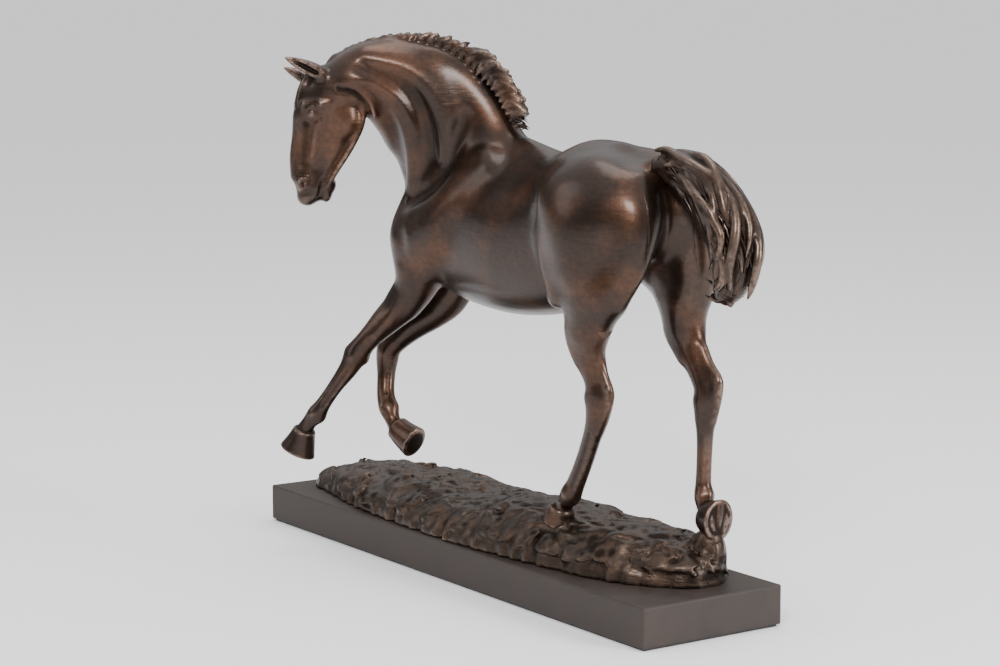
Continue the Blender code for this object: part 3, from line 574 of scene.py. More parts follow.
@dataclass
class Head:
    """The horse's head, turned to its left."""

    frame: HeadFrame = field(default_factory=HeadFrame)
    sections: tuple = ((-4, 308, 12, 14, 14), (-4, 300, 14, 18, 16), (-3.2, 291, 14, 20, 19),
                       (-2.5, 282, 12.4, 21.5, 21), (0, 270, 9.6, 19.5, 18.5), (4, 258, 7.8, 16.5, 14.6),
                       (6.5, 248, 7.6, 13.5, 11.6), (7.4, 241, 8.2, 11.5, 10), (7.6, 236, 7.6, 8.5, 7.4))
    eye: tuple = (7.8, 10.6, 288)
    nostril: tuple = (14.6, 7.4, 243)

    def strokes(self) -> list[Stroke]:
        """All the clay of the head."""
        head = self.frame
        skull = tuple((row[0], 0, row[1], *row[2:]) for row in self.sections)
        made = [head.roll(skull, blend=5, dome=0.6),
                head.roll(((10, 0, 299, 7, 5), (14.5, 0, 288, 7.5, 4), (16.5, 0, 274, 5.5, 3.4),
                           (18.6, 0, 260, 4.8, 3.2), (18.2, 0, 248, 4.8, 3.2)), blend=4, square=2.6)]
        made += both(self._bones) + both(self._eye) + both(self._nostril)
        made += self._mouth() + both(self._ear) + both(self._throat)
        return made

    def _bones(self, hand: int) -> list[Stroke]:
        """Cheek, jaw edge, facial crest and temple of one side."""
        head = self.frame
        return [
            head.pat((-10.5, 7.8, 284), (5.8, 11, 13), hand, blend=2.0),
            head.roll(((-24, 6.4, 293, 2.6), (-22, 6.8, 280, 2.8), (-15.5, 6.4, 266, 2.6), (-7, 5.4, 252, 2.2),
                       (-1, 4.6, 242, 2)), hand, blend=3),
            head.roll(((4, 9.8, 282, 1.7), (6.4, 8.2, 272, 1.6), (8.4, 6.6, 261, 1.2)), hand, blend=4),
            head.roll(((13.5, 11, 280, 4), (15, 10.4, 268, 4), (15, 9.8, 256, 3.4)), hand, blend=3,
                      mode=Mode.CARVE),
            head.roll(((-1.5, 14.2, 268, 4), (1.4, 12.8, 260, 4), (4, 11.8, 252, 3.4)), hand, blend=4,
                      mode=Mode.CARVE),
            head.roll(((-3, 12.4, 294, 1.6), (3, 12.6, 293, 1.7)), hand, blend=3),
        ]

    def _eye(self, hand: int) -> list[Stroke]:
        """Eyeball in its socket, the lids and the brow above it."""
        head, eye = self.frame, self.eye
        return [
            head.pat((0, 2.4, 0), (2.6, 3.8, 2.6), hand, eye, blend=2, mode=Mode.CARVE),
            head.pat((0, -0.5, 0), (3.0, 3.3, 2.8), hand, eye, blend=0.4),
            head.roll(((4.6, -1.6, 1.2, 1), (2.2, 0.9, 3.3, 1.1), (-1.4, 1.6, 3.4, 1.1), (-4.6, 0.8, 1, 0.9)),
                      hand, eye, blend=1.4),
            head.roll(((4.4, -1.8, 0.6, 0.7), (1.8, 0.6, -2.6, 0.8), (-1.6, 1.2, -2.5, 0.8),
                       (-4.6, 0.8, 0.8, 0.7)), hand, eye, blend=1.0),
            head.roll(((5.6, -2.2, 2, 1.4), (4.6, -1.0, 6.4, 1.7), (-3.6, 1.2, 6.8, 1.7)), hand, eye, blend=1.6),
            head.roll(((3.4, -0.4, -5, 0.35), (-1.4, 1.2, -5.2, 0.4), (-5, 1.4, -2.6, 0.35)), hand, eye,
                      blend=0.8, mode=Mode.CARVE),
        ]

    def _nostril(self, hand: int) -> list[Stroke]:
        """Flared rim and hollow of one nostril."""
        head, nostril = self.frame, self.nostril
        return [
            head.pat((-0.4, -1.2, 0), (2.8, 3.9, 4.4), hand, nostril, blend=2),
            head.roll(((-3, 0.2, 3.6, 0.9), (0.6, 1.0, 4.2, 1.0), (2.6, -0.4, 1, 1.0), (1.6, -0.6, -2.8, 0.9)),
                      hand, nostril, blend=1),
            head.roll(((-2.2, 1.6, 1.8, 0.9), (-0.2, 1.6, 1.2, 1.3), (0.6, 1.2, -1.2, 1.0)), hand, nostril,
                      blend=0.8, mode=Mode.CARVE),
        ]

    def _mouth(self) -> list[Stroke]:
        """Lips, the slit of the mouth and the chin."""
        head = self.frame
        return [
            head.pat((11.4, 0, 234.6), (7.2, 6.2, 5.6), blend=3),
            head.pat((-0.6, 0, 237.5), (5.8, 3.9, 6.4), blend=2.5),
            head.pat((-3.4, 0, 242), (5, 3.6, 4.6), blend=2.5),
        ] + both(self._lips)

    def _lips(self, hand: int) -> list[Stroke]:
        """The groove between the closed lips on one side."""
        return [self.frame.roll(((5.6, 4.6, 229.4, 0.6), (4.6, 6.6, 235, 0.7), (3.2, 6.6, 241, 0.7),
                                 (1.4, 6.9, 247, 0.4)), hand, blend=1.0, mode=Mode.CARVE)]

    def _ear(self, hand: int) -> list[Stroke]:
        """One pricked ear with its hollow. The left one stands a little higher."""
        head = self.frame
        rise = 0.0 if hand > 0 else -7.0
        return [
            head.roll(((-4, 7, 307 + rise / 2, 4.6, 5.4), (4, 8.5, 312.5 + rise, 5.4, 5),
                       (12, 9.6, 316.4 + rise, 5, 4.4), (19, 9.8, 319.6 + rise, 3.2, 2.8),
                       (25, 9.6, 322.4 + rise, 0.8)), hand, blend=2, dome=0.6),
            head.roll(((5, 12.6, 312.6 + rise, 1.5, 1.2), (12, 13, 316.2 + rise, 1.9, 1.3),
                       (19, 11.8, 319.6 + rise, 1.2, 0.9), (23, 10.6, 321.4 + rise, 0.5, 0.4)),
                      hand, blend=1.0, mode=Mode.CARVE),
        ]

    def _throat(self, hand: int) -> list[Stroke]:
        """The crease between cheek and neck, with the folds that the bent throat makes."""
        head = self.frame
        return [
            head.roll(((-8, 15.4, 303, 1.6), (-17, 15.4, 300, 2), (-25.5, 13, 292, 2), (-29, 10, 281, 2)), hand,
                      blend=3, mode=Mode.CARVE),
            head.roll(((-10, 13.6, 305.5, 1.2), (-20, 13.4, 303, 1.4), (-28, 11.4, 295, 1.3),
                       (-31, 8.4, 285, 1.2)), hand, blend=3),
        ]


@dataclass
class Mane:
    """A short upright mane of separate locks along the crest, with a forelock."""

    crest: tuple = ((-16, -2, 279), (-5, 2, 300), (12, 9, 317.5), (34, 24, 329), (54, 44, 331.5),
                    (68, 62, 326.5), (78, 80, 316))
    side: tuple = (-0.5, 0.85, 0)
    lock_count: int = 30
    lock_height: float = 7.2
    strand_count: int = 9
    seed: int = 11

    def _frame(self, share: float) -> tuple[np.ndarray, np.ndarray, np.ndarray, np.ndarray]:
        """Point, rise, side and run of the crest at a share of its length from the withers."""
        rows = spline(np.array(self.crest, float), 12)
        place = share * (len(rows) - 1)
        index = int(min(place, len(rows) - 2))
        run = rows[index + 1] - rows[index]
        run /= np.linalg.norm(run)
        point = rows[index] + (place - index) * (rows[index + 1] - rows[index])
        side = np.array(self.side, float)
        side -= side @ run * run
        side /= np.linalg.norm(side)
        rise = np.cross(run, side)
        return point, rise * np.sign(rise[2]), side, run

    def height(self, share: float) -> float:
        """Height of the hair: low at both ends, with a step down at the withers."""
        return self.lock_height * (0.55 + 0.45 * math.sin(math.pi * min(1, share * 1.15 + 0.12)))

    def path(self, share: float, out: float, lean: float, length: float) -> np.ndarray:
        """A hair's path up from the crest, bowed back towards the withers."""
        point, rise, side, run = self._frame(share)
        steps = np.linspace(-0.7, 1, 7)[:, None]
        bow = -run * lean * length * np.clip(steps, 0, 1) ** 1.6
        return point + side * out * (1 - 0.35 * np.clip(steps, 0, 1) ** 2) + rise * length * steps + bow

    def strokes(self) -> list[Stroke]:
        """The ridge of hair, its locks and the forelock."""
        made = []
        base = []
        for share in np.linspace(0.02, 0.99, 12):
            point, rise, _, _ = self._frame(float(share))
            tall = self.height(float(share)) * 0.62
            base.append((*(point + rise * tall * 0.55), 3.2, tall * 0.75))
        made.append(Stroke(tuple(base), self.side, 3, dome=0.5, steps=3))
        rng = np.random.default_rng(self.seed)
        for number in range(self.lock_count):
            share = (number + 0.5) / self.lock_count
            coarse = 1 + 0.5 * (share < 0.4)
            for hand in (1, -1):
                out = hand * rng.uniform(1.6, 3.4)
                length = self.height(share) * rng.uniform(0.92, 1.18) * (1 + 0.12 * (share < 0.4))
                path = self.path(share, out, 1.0 + rng.uniform(-0.15, 0.35), length)
                sizes = np.array([1.2, 1.8, 2.3, 2.6, 2.6, 2.2, 1.5]) * coarse * 0.78
                made.append(Stroke(tuple((*p, r * 0.75, r) for p, r in zip(path, sizes)),
                                   tuple(self._frame(share)[2]), 0.9, steps=2))
        return made + self._forelock()

    def _forelock(self) -> list[Stroke]:
        """Locks that fall forward between the ears."""
        head = HeadFrame()
        made = []
        for offset in (-3, -1, 1, 3):
            made.append(head.roll(((-2, offset * 0.6, 315, 2), (6, offset, 313.5, 2.2, 2),
                                   (12, offset * 1.3, 308, 1.9, 1.7), (15.4, offset * 1.5, 300, 1.3, 1.2),
                                   (17, offset * 1.2, 293, 0.5)), blend=0.9))
        return made

    def strand_paths(self) -> list[np.ndarray]:
        """Fine hairs that lie on the locks."""
        rng = np.random.default_rng(self.seed + 1)
        paths = []
        for number in range(self.lock_count * self.strand_count):
            share = min((number + rng.uniform(0, 1)) / (self.lock_count * self.strand_count), 0.995)
            hand = 1 if number % 2 else -1
            out = hand * rng.uniform(2.0, 3.9)
            length = self.height(share) * rng.uniform(0.6, 0.95)
            paths.append(self.path(share, out, 1.0 + rng.uniform(-0.15, 0.3), length))
        return paths


@dataclass
class Tail:
    """The tail, carried high and blown out behind, with a curl at its end."""

    stations: tuple = ((-146, -1, 261, 7, 6), (-158, -2, 264, 8, 7), (-170, -4, 263, 10, 9.6, 9),
                       (-186, -6, 256.5, 12.5, 13.5, 12), (-201, -8, 243.5, 13.5, 15, 14),
                       (-210, -10, 228, 13, 15.4, 14.6), (-212, -11, 214, 12, 15, 14.4),
                       (-207, -12, 202, 10, 14, 13), (-200, -12.5, 194, 6, 9))
    lock_count: int = 84
    curl_count: int = 12
    strand_count: int = 110
    seed: int = 5

    def _lines(self) -> tuple[np.ndarray, np.ndarray, np.ndarray]:
        """Middle line with its half width and half depth vectors."""
        rows = spline(np.array([full(station) for station in self.stations], float), 4)
        across, deep = crosswise(rows[:, :3], ACROSS)
        return rows[:, :3], across * rows[:, 3:4], deep * rows[:, 4:5]

    def strokes(self) -> list[Stroke]:
        """Core, locks and the curling tuft."""
        slim = tuple((*row[:3], *(size * 0.9 for size in row[3:])) for row in self.stations)
        made = [Stroke(slim, ACROSS, 4)]
        rng = np.random.default_rng(self.seed)
        centres, across, deep = self._lines()
        for path in hair_paths(centres[4:], across[4:], deep[4:], self.lock_count, 0.5, rng, 1.7):
            thick = rng.uniform(1.7, 3.1)
            sizes = thick * np.array([0.5, 0.85, 1, 1.05, 1.05, 1, 0.85, 0.6, 0.25])
            made.append(Stroke(tuple((*p, r) for p, r in zip(path, sizes)), ACROSS, 1.3, steps=3))
        return made + self._curl(rng)

    def _curl(self, rng: np.random.Generator) -> list[Stroke]:
        """Loose ends that curl under at the tip of the tail."""
        made = []
        for number in range(self.curl_count):
            turn = number / self.curl_count
            start = np.array((-212 + 9 * turn, -17 + 11 * rng.uniform(), 214 - 7 * turn))
            end = np.array((-186 - 17 * rng.uniform(), -16 + 9 * rng.uniform(), 191 + 12 * rng.uniform()))
            middle = (start + end) / 2 + np.array((-4, 0, -7 - 3 * rng.uniform()))
            made.append(Stroke(((*start, 1.6), (*middle, 1.9), (*end, 0.5)), ACROSS, 1.0, steps=6))
        return made

    def strand_paths(self) -> list[np.ndarray]:
        """Fine hairs that lie on the tail."""
        rng = np.random.default_rng(self.seed + 1)
        centres, across, deep = self._lines()
        return hair_paths(centres[5:], across[5:] * 1.1, deep[5:] * 1.1, self.strand_count, 0.5, rng, 0.8)


@dataclass
class Leg:
    """One leg from its seam to its hoof.

    The side of a leg is its fore and aft direction, so the half width of a station is fore and aft.
    """

    name: str
    low: tuple
    high: tuple
    side: tuple
    bones: tuple
    hoof: tuple
    hoof_side: tuple
    knobs: tuple = ()
    cannon: tuple = (0, 0)
    finish: tuple = ()
    groove: float = 0.7

    def strokes(self) -> list[Stroke]:
        """All the clay of the leg below its seam, with a little above it."""
        return [Stroke(self.bones, self.side, 3.5, dome=0.5, steps=6), *self.knobs]

    def foot(self) -> list[Stroke]:
        """The grooves of the cannon, the hoof and what is done to it last."""
        return self._grooves() + self._hoof() + list(self.finish)

    def _grooves(self) -> list[Stroke]:
        """Grooves between the cannon bone and the tendons, inside and outside."""
        rows = np.array([full(bone) for bone in self.bones[slice(*self.cannon)]], float)
        centres = rows[:, :3]
        fore, deep = crosswise(centres, self.side)
        made = []
        for sign, sizes in ((1, rows[:, 4]), (-1, rows[:, 5])):
            path = centres - fore * (rows[:, 3] * 0.3)[:, None] + sign * deep * (sizes * 1.04)[:, None]
            made.append(carve(tuple((*p, self.groove) for p in path), self.side, 1.6))
        return made

    def _hoof(self) -> list[Stroke]:
        """The wall of the hoof."""
        return [Stroke(self.hoof, self.hoof_side, 2.4, dome=0.12, steps=4)]


def knob(x: float, y: float, z: float, size: float, blend: float = 3.0, tall: float = 1.3) -> Stroke:
    """A rounded bump over a joint."""
    return ball((x, y, z), (size * 0.85, size * 0.85, size * tall), blend=blend)


def open_sole(sole: tuple) -> list[Stroke]:
    """Sole of the raised hoof: a rim round a hollow, with the frog pointing to the toe.

    Args:
        sole: middle of the underside of the hoof, which faces backwards.

    Returns:
        The strokes, for after the hoof is made.
    """
    x, y, z = sole
    return [
        carve(((x - 1.0, y, z + 0.4, 9.4, 10.4), (x - 6, y, z + 0.4, 9.6, 10.6)), blend=1.2, dome=0.1),
        Stroke(((x + 0.2, y, z + 10.4, 4, 1.6), (x + 0.1, y, z + 3, 2.6, 1.5), (x + 0.3, y, z - 4.6, 0.7, 1.0)),
               blend=0.8, dome=0.4),
        carve(((x - 2, y, z + 9, 0.7, 0.8), (x - 2, y, z + 2, 0.4, 0.6)), blend=0.8),
    ]


def legs() -> list[Leg]:
    """The four legs, as the horse steps."""
    sole = (-188.0, -21.2, 60.6)
    return [
        Leg("left_hindleg", (-142, 4, 24), (-72, 44, 196), ALONG,
            ((-128, 28, 186, 20, 11.5, 12), (-127, 27, 176, 17, 11), (-124, 27, 166, 15.6, 9.6),
             (-123, 25, 155, 13.6, 8), (-124.6, 23, 146, 10.6, 6.8), (-127, 22, 137, 8.0, 6.2),
             (-128, 21.5, 128, 8.8, 6.8), (-127, 21, 119, 8.3, 6.4), (-123.4, 21, 108, 7, 5),
             (-114, 20, 90, 6.6, 4.6), (-104, 19.5, 73, 6.6, 5), (-97.8, 19, 65, 7.2, 6.2),
             (-92.5, 18.5, 59, 5.1, 5.4), (-89, 18, 54, 6.4, 6.9)),
            ((-88.5, 18, 56, 7.2, 7.8), (-86.5, 18, 51.5, 8.7), (-84.6, 18, 46, 10.2, 9.6)),
            ALONG,
            (Stroke(((-131, 22, 152, 2.4, 2.6), (-136, 22, 142, 2.5, 2.9),
                     (-139.5, 21.5, 132, 3.4, 3.2), (-135.5, 21, 121, 3.5, 3.3),
                     (-128, 21, 108, 3, 2.8)), ALONG, 3),
             carve(((-131, 29.5, 154, 1.2), (-132.4, 28, 146, 1.6),
                    (-133, 27.4, 137, 1.1)), blend=3),
             carve(((-131, 16, 154, 1.2), (-132.4, 16.4, 146, 1.6),
                    (-133, 16.6, 137, 1.1)), blend=3),
             Stroke(((-116, 32, 178, 4, 3), (-115.5, 31, 162, 4, 3), (-119, 27.6, 148, 2.6, 2.2)),
                    ALONG, 4),
             Stroke(((-133, 33, 180, 4.5, 3), (-132, 32, 166, 3.6, 2.4),
                     (-131, 27.6, 153, 2, 1.8)), ALONG, 4),
             knob(-123.6, 26, 128, 2.4), knob(-123.6, 16.8, 129, 2.2),
             knob(-99.6, 24, 66.5, 2.2), knob(-99.6, 14, 66.5, 2.2), knob(-102.4, 19, 65, 2.8),
             carve(((-96, 18.5, 57.6, 1.2, 5), (-95, 18.5, 55.6, 1.2, 5)), ALONG, 2)),
            (8, 11)),
        Leg("right_hindleg", (-204, -46, 44), (-142, -4, 198), ALONG,
            ((-149, -24, 186, 18, 12), (-150, -24, 178, 15, 11), (-152, -24, 169, 12.5, 9.8),
             (-158, -24, 157, 10.8, 8), (-166, -24, 146, 9, 6.9), (-171, -24, 136, 8, 6.4),
             (-171.5, -24, 127, 8.3, 6.8), (-171, -24, 118, 7.1, 6), (-171, -24, 108, 5.7, 4.9),
             (-170.5, -24, 92, 5.2, 4.5), (-170, -24, 79, 5.4, 4.7), (-171, -23.5, 72, 6.2, 5.8),
             (-174, -22.5, 66, 4.9, 5.4), (-178, -21.5, 62, 6)),
            ((-177, -20.5, 61.5, 8.3), (-182, -20.6, 61, 10, 10.8), (*sole, 11.6, 12.8)),
            ACROSS,
            (Stroke(((-168, -24.5, 160, 2.4, 2.6), (-174, -25, 150, 2.5, 2.9),
                     (-181.5, -25, 141, 3.4, 3.2), (-180, -25, 130, 3.6, 3.3),
                     (-176, -24.5, 116, 3, 2.8)), ALONG, 3),
             carve(((-167, -17.4, 160, 1.2), (-171.6, -18, 151, 1.6),
                    (-175, -18.4, 141, 1.1)), blend=3),
             carve(((-167, -31, 160, 1.2), (-171.6, -30.4, 151, 1.6),
                    (-175, -30, 141, 1.1)), blend=3),
             Stroke(((-141.5, -20, 178, 3.6, 3), (-145, -18.4, 164, 3.6, 2.8),
                     (-155, -19, 150, 2.4, 2)), ALONG, 4),
             knob(-168, -19.8, 128, 2.3), knob(-168, -29, 129, 2.2),
             knob(-173, -18.6, 72.5, 2.1), knob(-173, -28.4, 72.5, 2.1), knob(-176.6, -23.4, 73.6, 2.6)),
            (8, 11), tuple(open_sole(sole))),
        Leg("left_foreleg", (44, 14, 52), (140, 92, 184), (0.75, 0.55, 0.3),
            ((53, 28, 188, 15, 12), (56, 28, 178, 13.5, 10.8), (66, 33, 164, 11.8, 8.8),
             (74, 42, 152, 9.6, 7.4), (82, 50, 140, 7.5, 6.2), (88.5, 54, 131, 7.9, 7.0),
             (92.5, 58, 121, 6.6, 6), (99, 64, 109, 5.3, 4.4), (105.5, 69.5, 97, 5.3, 4.5),
             (110, 72, 90, 6.5, 5.9), (116, 74.5, 83.5, 5, 5.4), (120, 76, 77, 6.3, 6.7)),
            ((119.2, 76, 78.5, 7.2, 7.6), (122, 77, 71, 9.6, 8.9), (124.8, 78.4, 63.6, 12.4, 10)),
            (0.85, 0.5, 0.0),
            (Stroke(((73, 27, 172, 4.2, 3), (80, 36, 158, 3.6, 2.8), (86, 46.5, 145, 2.4, 2)),
                    (0.75, 0.55, 0.3), 3.5),
             Stroke(((58, 37, 170, 4.4, 3), (66, 43, 156, 3.6, 2.6), (74, 50, 143, 2.4, 2)),
                    (0.75, 0.55, 0.3), 3.5),
             carve(((64, 31, 178, 1.1), (73, 38.5, 161, 1.2),
                    (80, 47, 147, 0.9)), (0.75, 0.55, 0.3), 3),
             knob(93.4, 57.4, 131.6, 3.2), knob(84, 49.6, 126.6, 2.6), knob(86.6, 59.6, 129, 2.4),
             knob(93, 51, 129, 2.2), knob(107.6, 70, 88, 2.8), knob(108, 76.4, 91, 2), knob(113, 68, 91, 2)),
            (6, 9)),
        Leg("right_foreleg", (62, -32, 60), (116, 40, 184), (0.7, 0.6, 0.3),
            ((66, -14, 190, 14, 12), (70.4, -12.6, 179, 14.4, 11), (76.4, -8.4, 165.4, 14.2, 10.4),
             (82.2, -0.6, 156.8, 13.4, 9.4), (90.6, 11.8, 146, 11.2, 8.2), (99.2, 20.4, 133.6, 8.6, 7),
             (102.6, 22, 126, 7.8, 7.2), (101.2, 24, 112.5, 6.4, 5.2), (98, 26.5, 100, 6.2, 5.2),
             (92, 28, 92, 6.7, 6), (88, 27.2, 84, 5, 5.5), (83, 26.4, 78.5, 6.3, 6.6)),
            ((84, 26.5, 80, 8.0, 7.7), (77, 25, 76, 9.2, 8.6), (68.6, 23, 72, 10.8, 9.4)),
            (0.25, 0.1, -1.0),
            (Stroke(((86, -8, 168, 4, 3), (94, 4, 156, 3.4, 2.8), (103, 16.6, 141, 2.4, 2)),
                    (0.7, 0.6, 0.3), 3.5),
             Stroke(((74, -2, 158, 4, 3), (83, 11, 148, 3.2, 2.4), (91, 20, 137, 2.2, 1.8)),
                    (0.7, 0.6, 0.3), 3.5),
             knob(107, 23.6, 129, 3), knob(97.6, 20, 122, 2.6), knob(99.6, 27.4, 127, 2.3),
             knob(88.6, 25, 92.6, 2.6), knob(92, 33, 92, 2), knob(95, 22.6, 91, 2)),
            (7, 9)),
    ]


@dataclass
class Earth:
    """The rough cast earth, with the stump that takes the raised toe.

    A section is x, height of the crest above the plinth, y of the near edge and y of the far edge.
    """

    top: float
    sections: tuple = ((-191, 10, -2, -22), (-186, 15.5, 6, -28), (-176, 20, 14, -36), (-158, 23.5, 26, -46),
                       (-130, 24.5, 35, -48), (-100, 25, 39.5, -48), (-70, 26.5, 43.5, -47),
                       (-45, 27, 46, -46), (-18, 24, 48, -46), (12, 22, 48, -46), (50, 23.5, 47, -46),
                       (85, 24, 45.5, -44), (123, 21, 41, -42), (160, 16.5, 33.5, -39),
                       (180, 13.5, 30, -34), (191, 11, 27, -29))
    stump: tuple = ((-178, -19, 36, 13, 11), (-180, -19, 43, 10.5, 9), (-181, -19.5, 49, 9, 8),
                    (-181, -19.5, 52, 7.6, 6.6))
    bulge: float = 2.6
    half_length: float = 191.0
    wave_count: int = 14
    ridge_count: int = 30
    clod_count: int = 420
    drag_count: int = 170
    grain: float = 1.05
    seed: int = 3

    def heights(self, x: np.ndarray, y: np.ndarray) -> np.ndarray:
        """Height of the surface at open grids of x and y, before any clod is put on."""
        rows = spline(np.array(self.sections, float), 6)
        crest, near, far = (np.interp(x, rows[:, 0], rows[:, k]) for k in (1, 2, 3))
        rng = np.random.default_rng(self.seed)
        for _ in range(self.wave_count):
            turn, wave, shift = rng.uniform(0, math.pi), rng.uniform(9, 34), rng.uniform(0, math.tau)
            swell = np.sin((x * math.cos(turn) + y * math.sin(turn)) * math.tau / wave + shift)
            crest = crest + 0.02 * wave ** 0.8 * swell
            near = near + 0.25 * np.sin(x * math.tau / wave + shift)
            far = far + 0.25 * np.sin(x * math.tau / wave - shift)
        half = (near - far) / 2
        share = np.abs(y - (near + far) / 2) / half
        inside = crest * np.sqrt(np.clip(1 - share ** self.bulge, 0, 1))
        past = np.maximum(np.abs(x) - self.half_length, 0)
        outside = -np.maximum(share - 1, 0) * half * 2.5
        return self.top + np.where(share < 1, inside, outside) - past * 8

    def strokes(self, rng: np.random.Generator) -> list[Stroke]:
        """Pats of clay pressed on, drags of the tool across them, and the stump."""
        made = [Stroke(self.stump, ALONG, 5, dome=0.4)]
        made += [self._pat(rng, Mode.ADD) for _ in range(self.clod_count)]
        made += [self._pat(rng, Mode.CARVE) for _ in range(self.drag_count)]
        for _ in range(self.ridge_count):
            turn, rise = rng.uniform(0, math.tau), rng.uniform(-4, 5)
            middle = (-180 + 9.5 * math.cos(turn), -19 + 8.5 * math.sin(turn), 40 + rise)
            made.append(ball(middle, (rng.uniform(1.2, 2.4), 1.5, rng.uniform(5, 9)), (0.3, 0.9, 0),
                             (math.cos(turn) * -0.25, math.sin(turn) * -0.25, 1.0), 2.2))
        return made

    def _pat(self, rng: np.random.Generator, mode: Mode) -> Stroke:
        """One pat or drag, mostly lengthways, lying on the surface."""
        rows = spline(np.array(self.sections, float), 6)
        x = rng.uniform(-188, 188)
        near, far = (np.interp(x, rows[:, 0], rows[:, k]) for k in (2, 3))
        share = rng.uniform(-0.95, 0.95)
        y = (near + far) / 2 + share * (near - far) / 2
        here, ahead, aside = (float(self.heights(np.array([px]), np.array([py]))[0])
                              for px, py in ((x, y), (x + 1, y), (x, y + 1)))
        turn = rng.normal(0.3, 0.5)
        climb, tilt = (max(-0.9, min(0.9, slope)) for slope in (ahead - here, aside - here))
        along = (math.cos(turn), math.sin(turn), climb * math.cos(turn) + tilt * math.sin(turn))
        side = (-math.sin(turn), math.cos(turn), tilt * math.cos(turn))
        if mode is Mode.ADD:
            sizes = (rng.uniform(2, 4.6), rng.uniform(0.9, 1.6), rng.uniform(4, 10))
            return ball((x, y, here - 0.3), sizes, side, along, 3.6)
        sizes = (rng.uniform(0.9, 1.8), 0.9, rng.uniform(6, 14))
        return ball((x, y, here + 1.0), sizes, side, along, 2.4, Mode.CARVE)


@dataclass(frozen=True)
class Seam:
    """The plane where a casting meets the trunk: a point, the direction out of the trunk and the reach."""

    point: tuple
    away: tuple
    reach: float
    margin: float = 4.0     # how near to the plane a face is looked at, in millimetres

    def cut(self, bm: bmesh.types.BMesh, keep: int) -> None:
        """Cuts a mesh flat at the seam and closes it.

        Args:
            bm: mesh in millimetres.
            keep: 1 to keep what lies away from the trunk, -1 to keep the trunk.
        """
        middle, normal = Vector(self.point), Vector(self.away).normalized() * keep
        bm.verts.ensure_lookup_table()
        places = np.array([vert.co for vert in bm.verts]) - np.array(middle)
        rise = places @ np.array(normal)
        inside = np.linalg.norm(places - rise[:, None] * np.array(normal), axis=1) < self.reach
        near = {bm.verts[index] for index in np.flatnonzero(inside & (np.abs(rise) < self.margin))}
        faces = [face for face in bm.faces if all(vert in near for vert in face.verts)]
        edges = {edge for face in faces for edge in face.edges}
        bmesh.ops.bisect_plane(bm, geom=[*near, *edges, *faces], plane_co=middle, plane_no=normal, dist=1e-5)
        gone = []
        for vert in bm.verts:
            place = vert.co - middle
            depth = place.dot(normal)
            if depth < -1e-4 and (place - normal * depth).length < self.reach * 1.02:
                gone.append(vert)
        bmesh.ops.delete(bm, geom=gone, context="VERTS")
        rim = [edge for edge in bm.edges if edge.is_boundary]
        bmesh.ops.holes_fill(bm, edges=rim, sides=0)


SEAMS = {
    "left_hindleg": Seam((-125.5, 27, 171), (0.08, -0.02, -1), 27),
    "right_hindleg": Seam((-151.5, -24, 171), (-0.2, 0, -1), 25),
    "left_foreleg": Seam((62, 31, 169.5), (0.45, 0.35, -0.82), 20),
    "right_foreleg": Seam((76.5, -8.5, 168.5), (0.45, 0.5, -0.74), 20),
    "neck": Seam((37, 5, 254), (0.5, 0.12, 0.86), 90),
    "tail": Seam((-155, -1.8, 265.5), (-1, -0.05, 0.15), 14),
}


@dataclass
class Foundry:
    """Turns clay into closed metal skins that stand for the nodes of the frame."""

    lift: float

    def cast(self, name: str, clay: Clay, cuts: dict[str, int], rounds: int,
             finish: bpy.types.Material) -> bpy.types.Object:
        """Casts one piece.

        Args:
            name: name of the piece.
            clay: the modelled clay.
            cuts: seam names, with 1 to keep the part away from the trunk and -1 to keep the trunk.
            rounds: how often the curvature is averaged before it becomes the rubbing mask.
            finish: its material.

        Returns:
            The piece's object, in metres.
        """
        points, faces = clay.surface()
        mesh = bpy.data.meshes.new(name)
        mesh.from_pydata(points.tolist(), [], faces)
        bm = bmesh.new()
        bm.from_mesh(mesh)
        for seam, keep in cuts.items():
            SEAMS[seam].cut(bm, keep)
        self._keep_largest(bm)
        if bm.calc_volume(signed=True) < 0:
            bmesh.ops.reverse_faces(bm, faces=bm.faces)
        open_edges = sum(1 for edge in bm.edges if not edge.is_manifold)
        bm.to_mesh(mesh)
        bm.free()
        co = np.empty(len(mesh.vertices) * 3, np.float32)
        mesh.vertices.foreach_get("co", co)
        co = co.reshape(-1, 3)
        self._store(mesh, "rub", clay.curvature(co, rounds))
        self._store(mesh, "edge", clay.curvature(co, 1))
        mesh.transform(Matrix.Translation((0, 0, self.lift * MM)) @ Matrix.Scale(MM, 4))
        return finish_piece(name, mesh, finish, open_edges)

    @staticmethod
    def _store(mesh: bpy.types.Mesh, name: str, values: np.ndarray) -> None:
        """Keeps a number for each point of a mesh, which materials read by name."""
        layer = mesh.attributes.new(name, "FLOAT", "POINT")
        layer.data.foreach_set("value", values.astype(np.float32))

    @staticmethod
    def _keep_largest(bm: bmesh.types.BMesh) -> None:
        """Removes every loose crumb and keeps the largest body."""
        seen: set = set()
        parts = []
        for start in bm.verts:
            if start in seen:
                continue
            part, queue = [start], [start]
            seen.add(start)
            while queue:
                for edge in queue.pop().link_edges:
                    for vert in edge.verts:
                        if vert not in seen:
                            seen.add(vert)
                            part.append(vert)
                            queue.append(vert)
            parts.append(part)
        largest = max(parts, key=len)
        crumbs = [vert for part in parts if part is not largest for vert in part]
        bmesh.ops.delete(bm, geom=crumbs, context="VERTS")


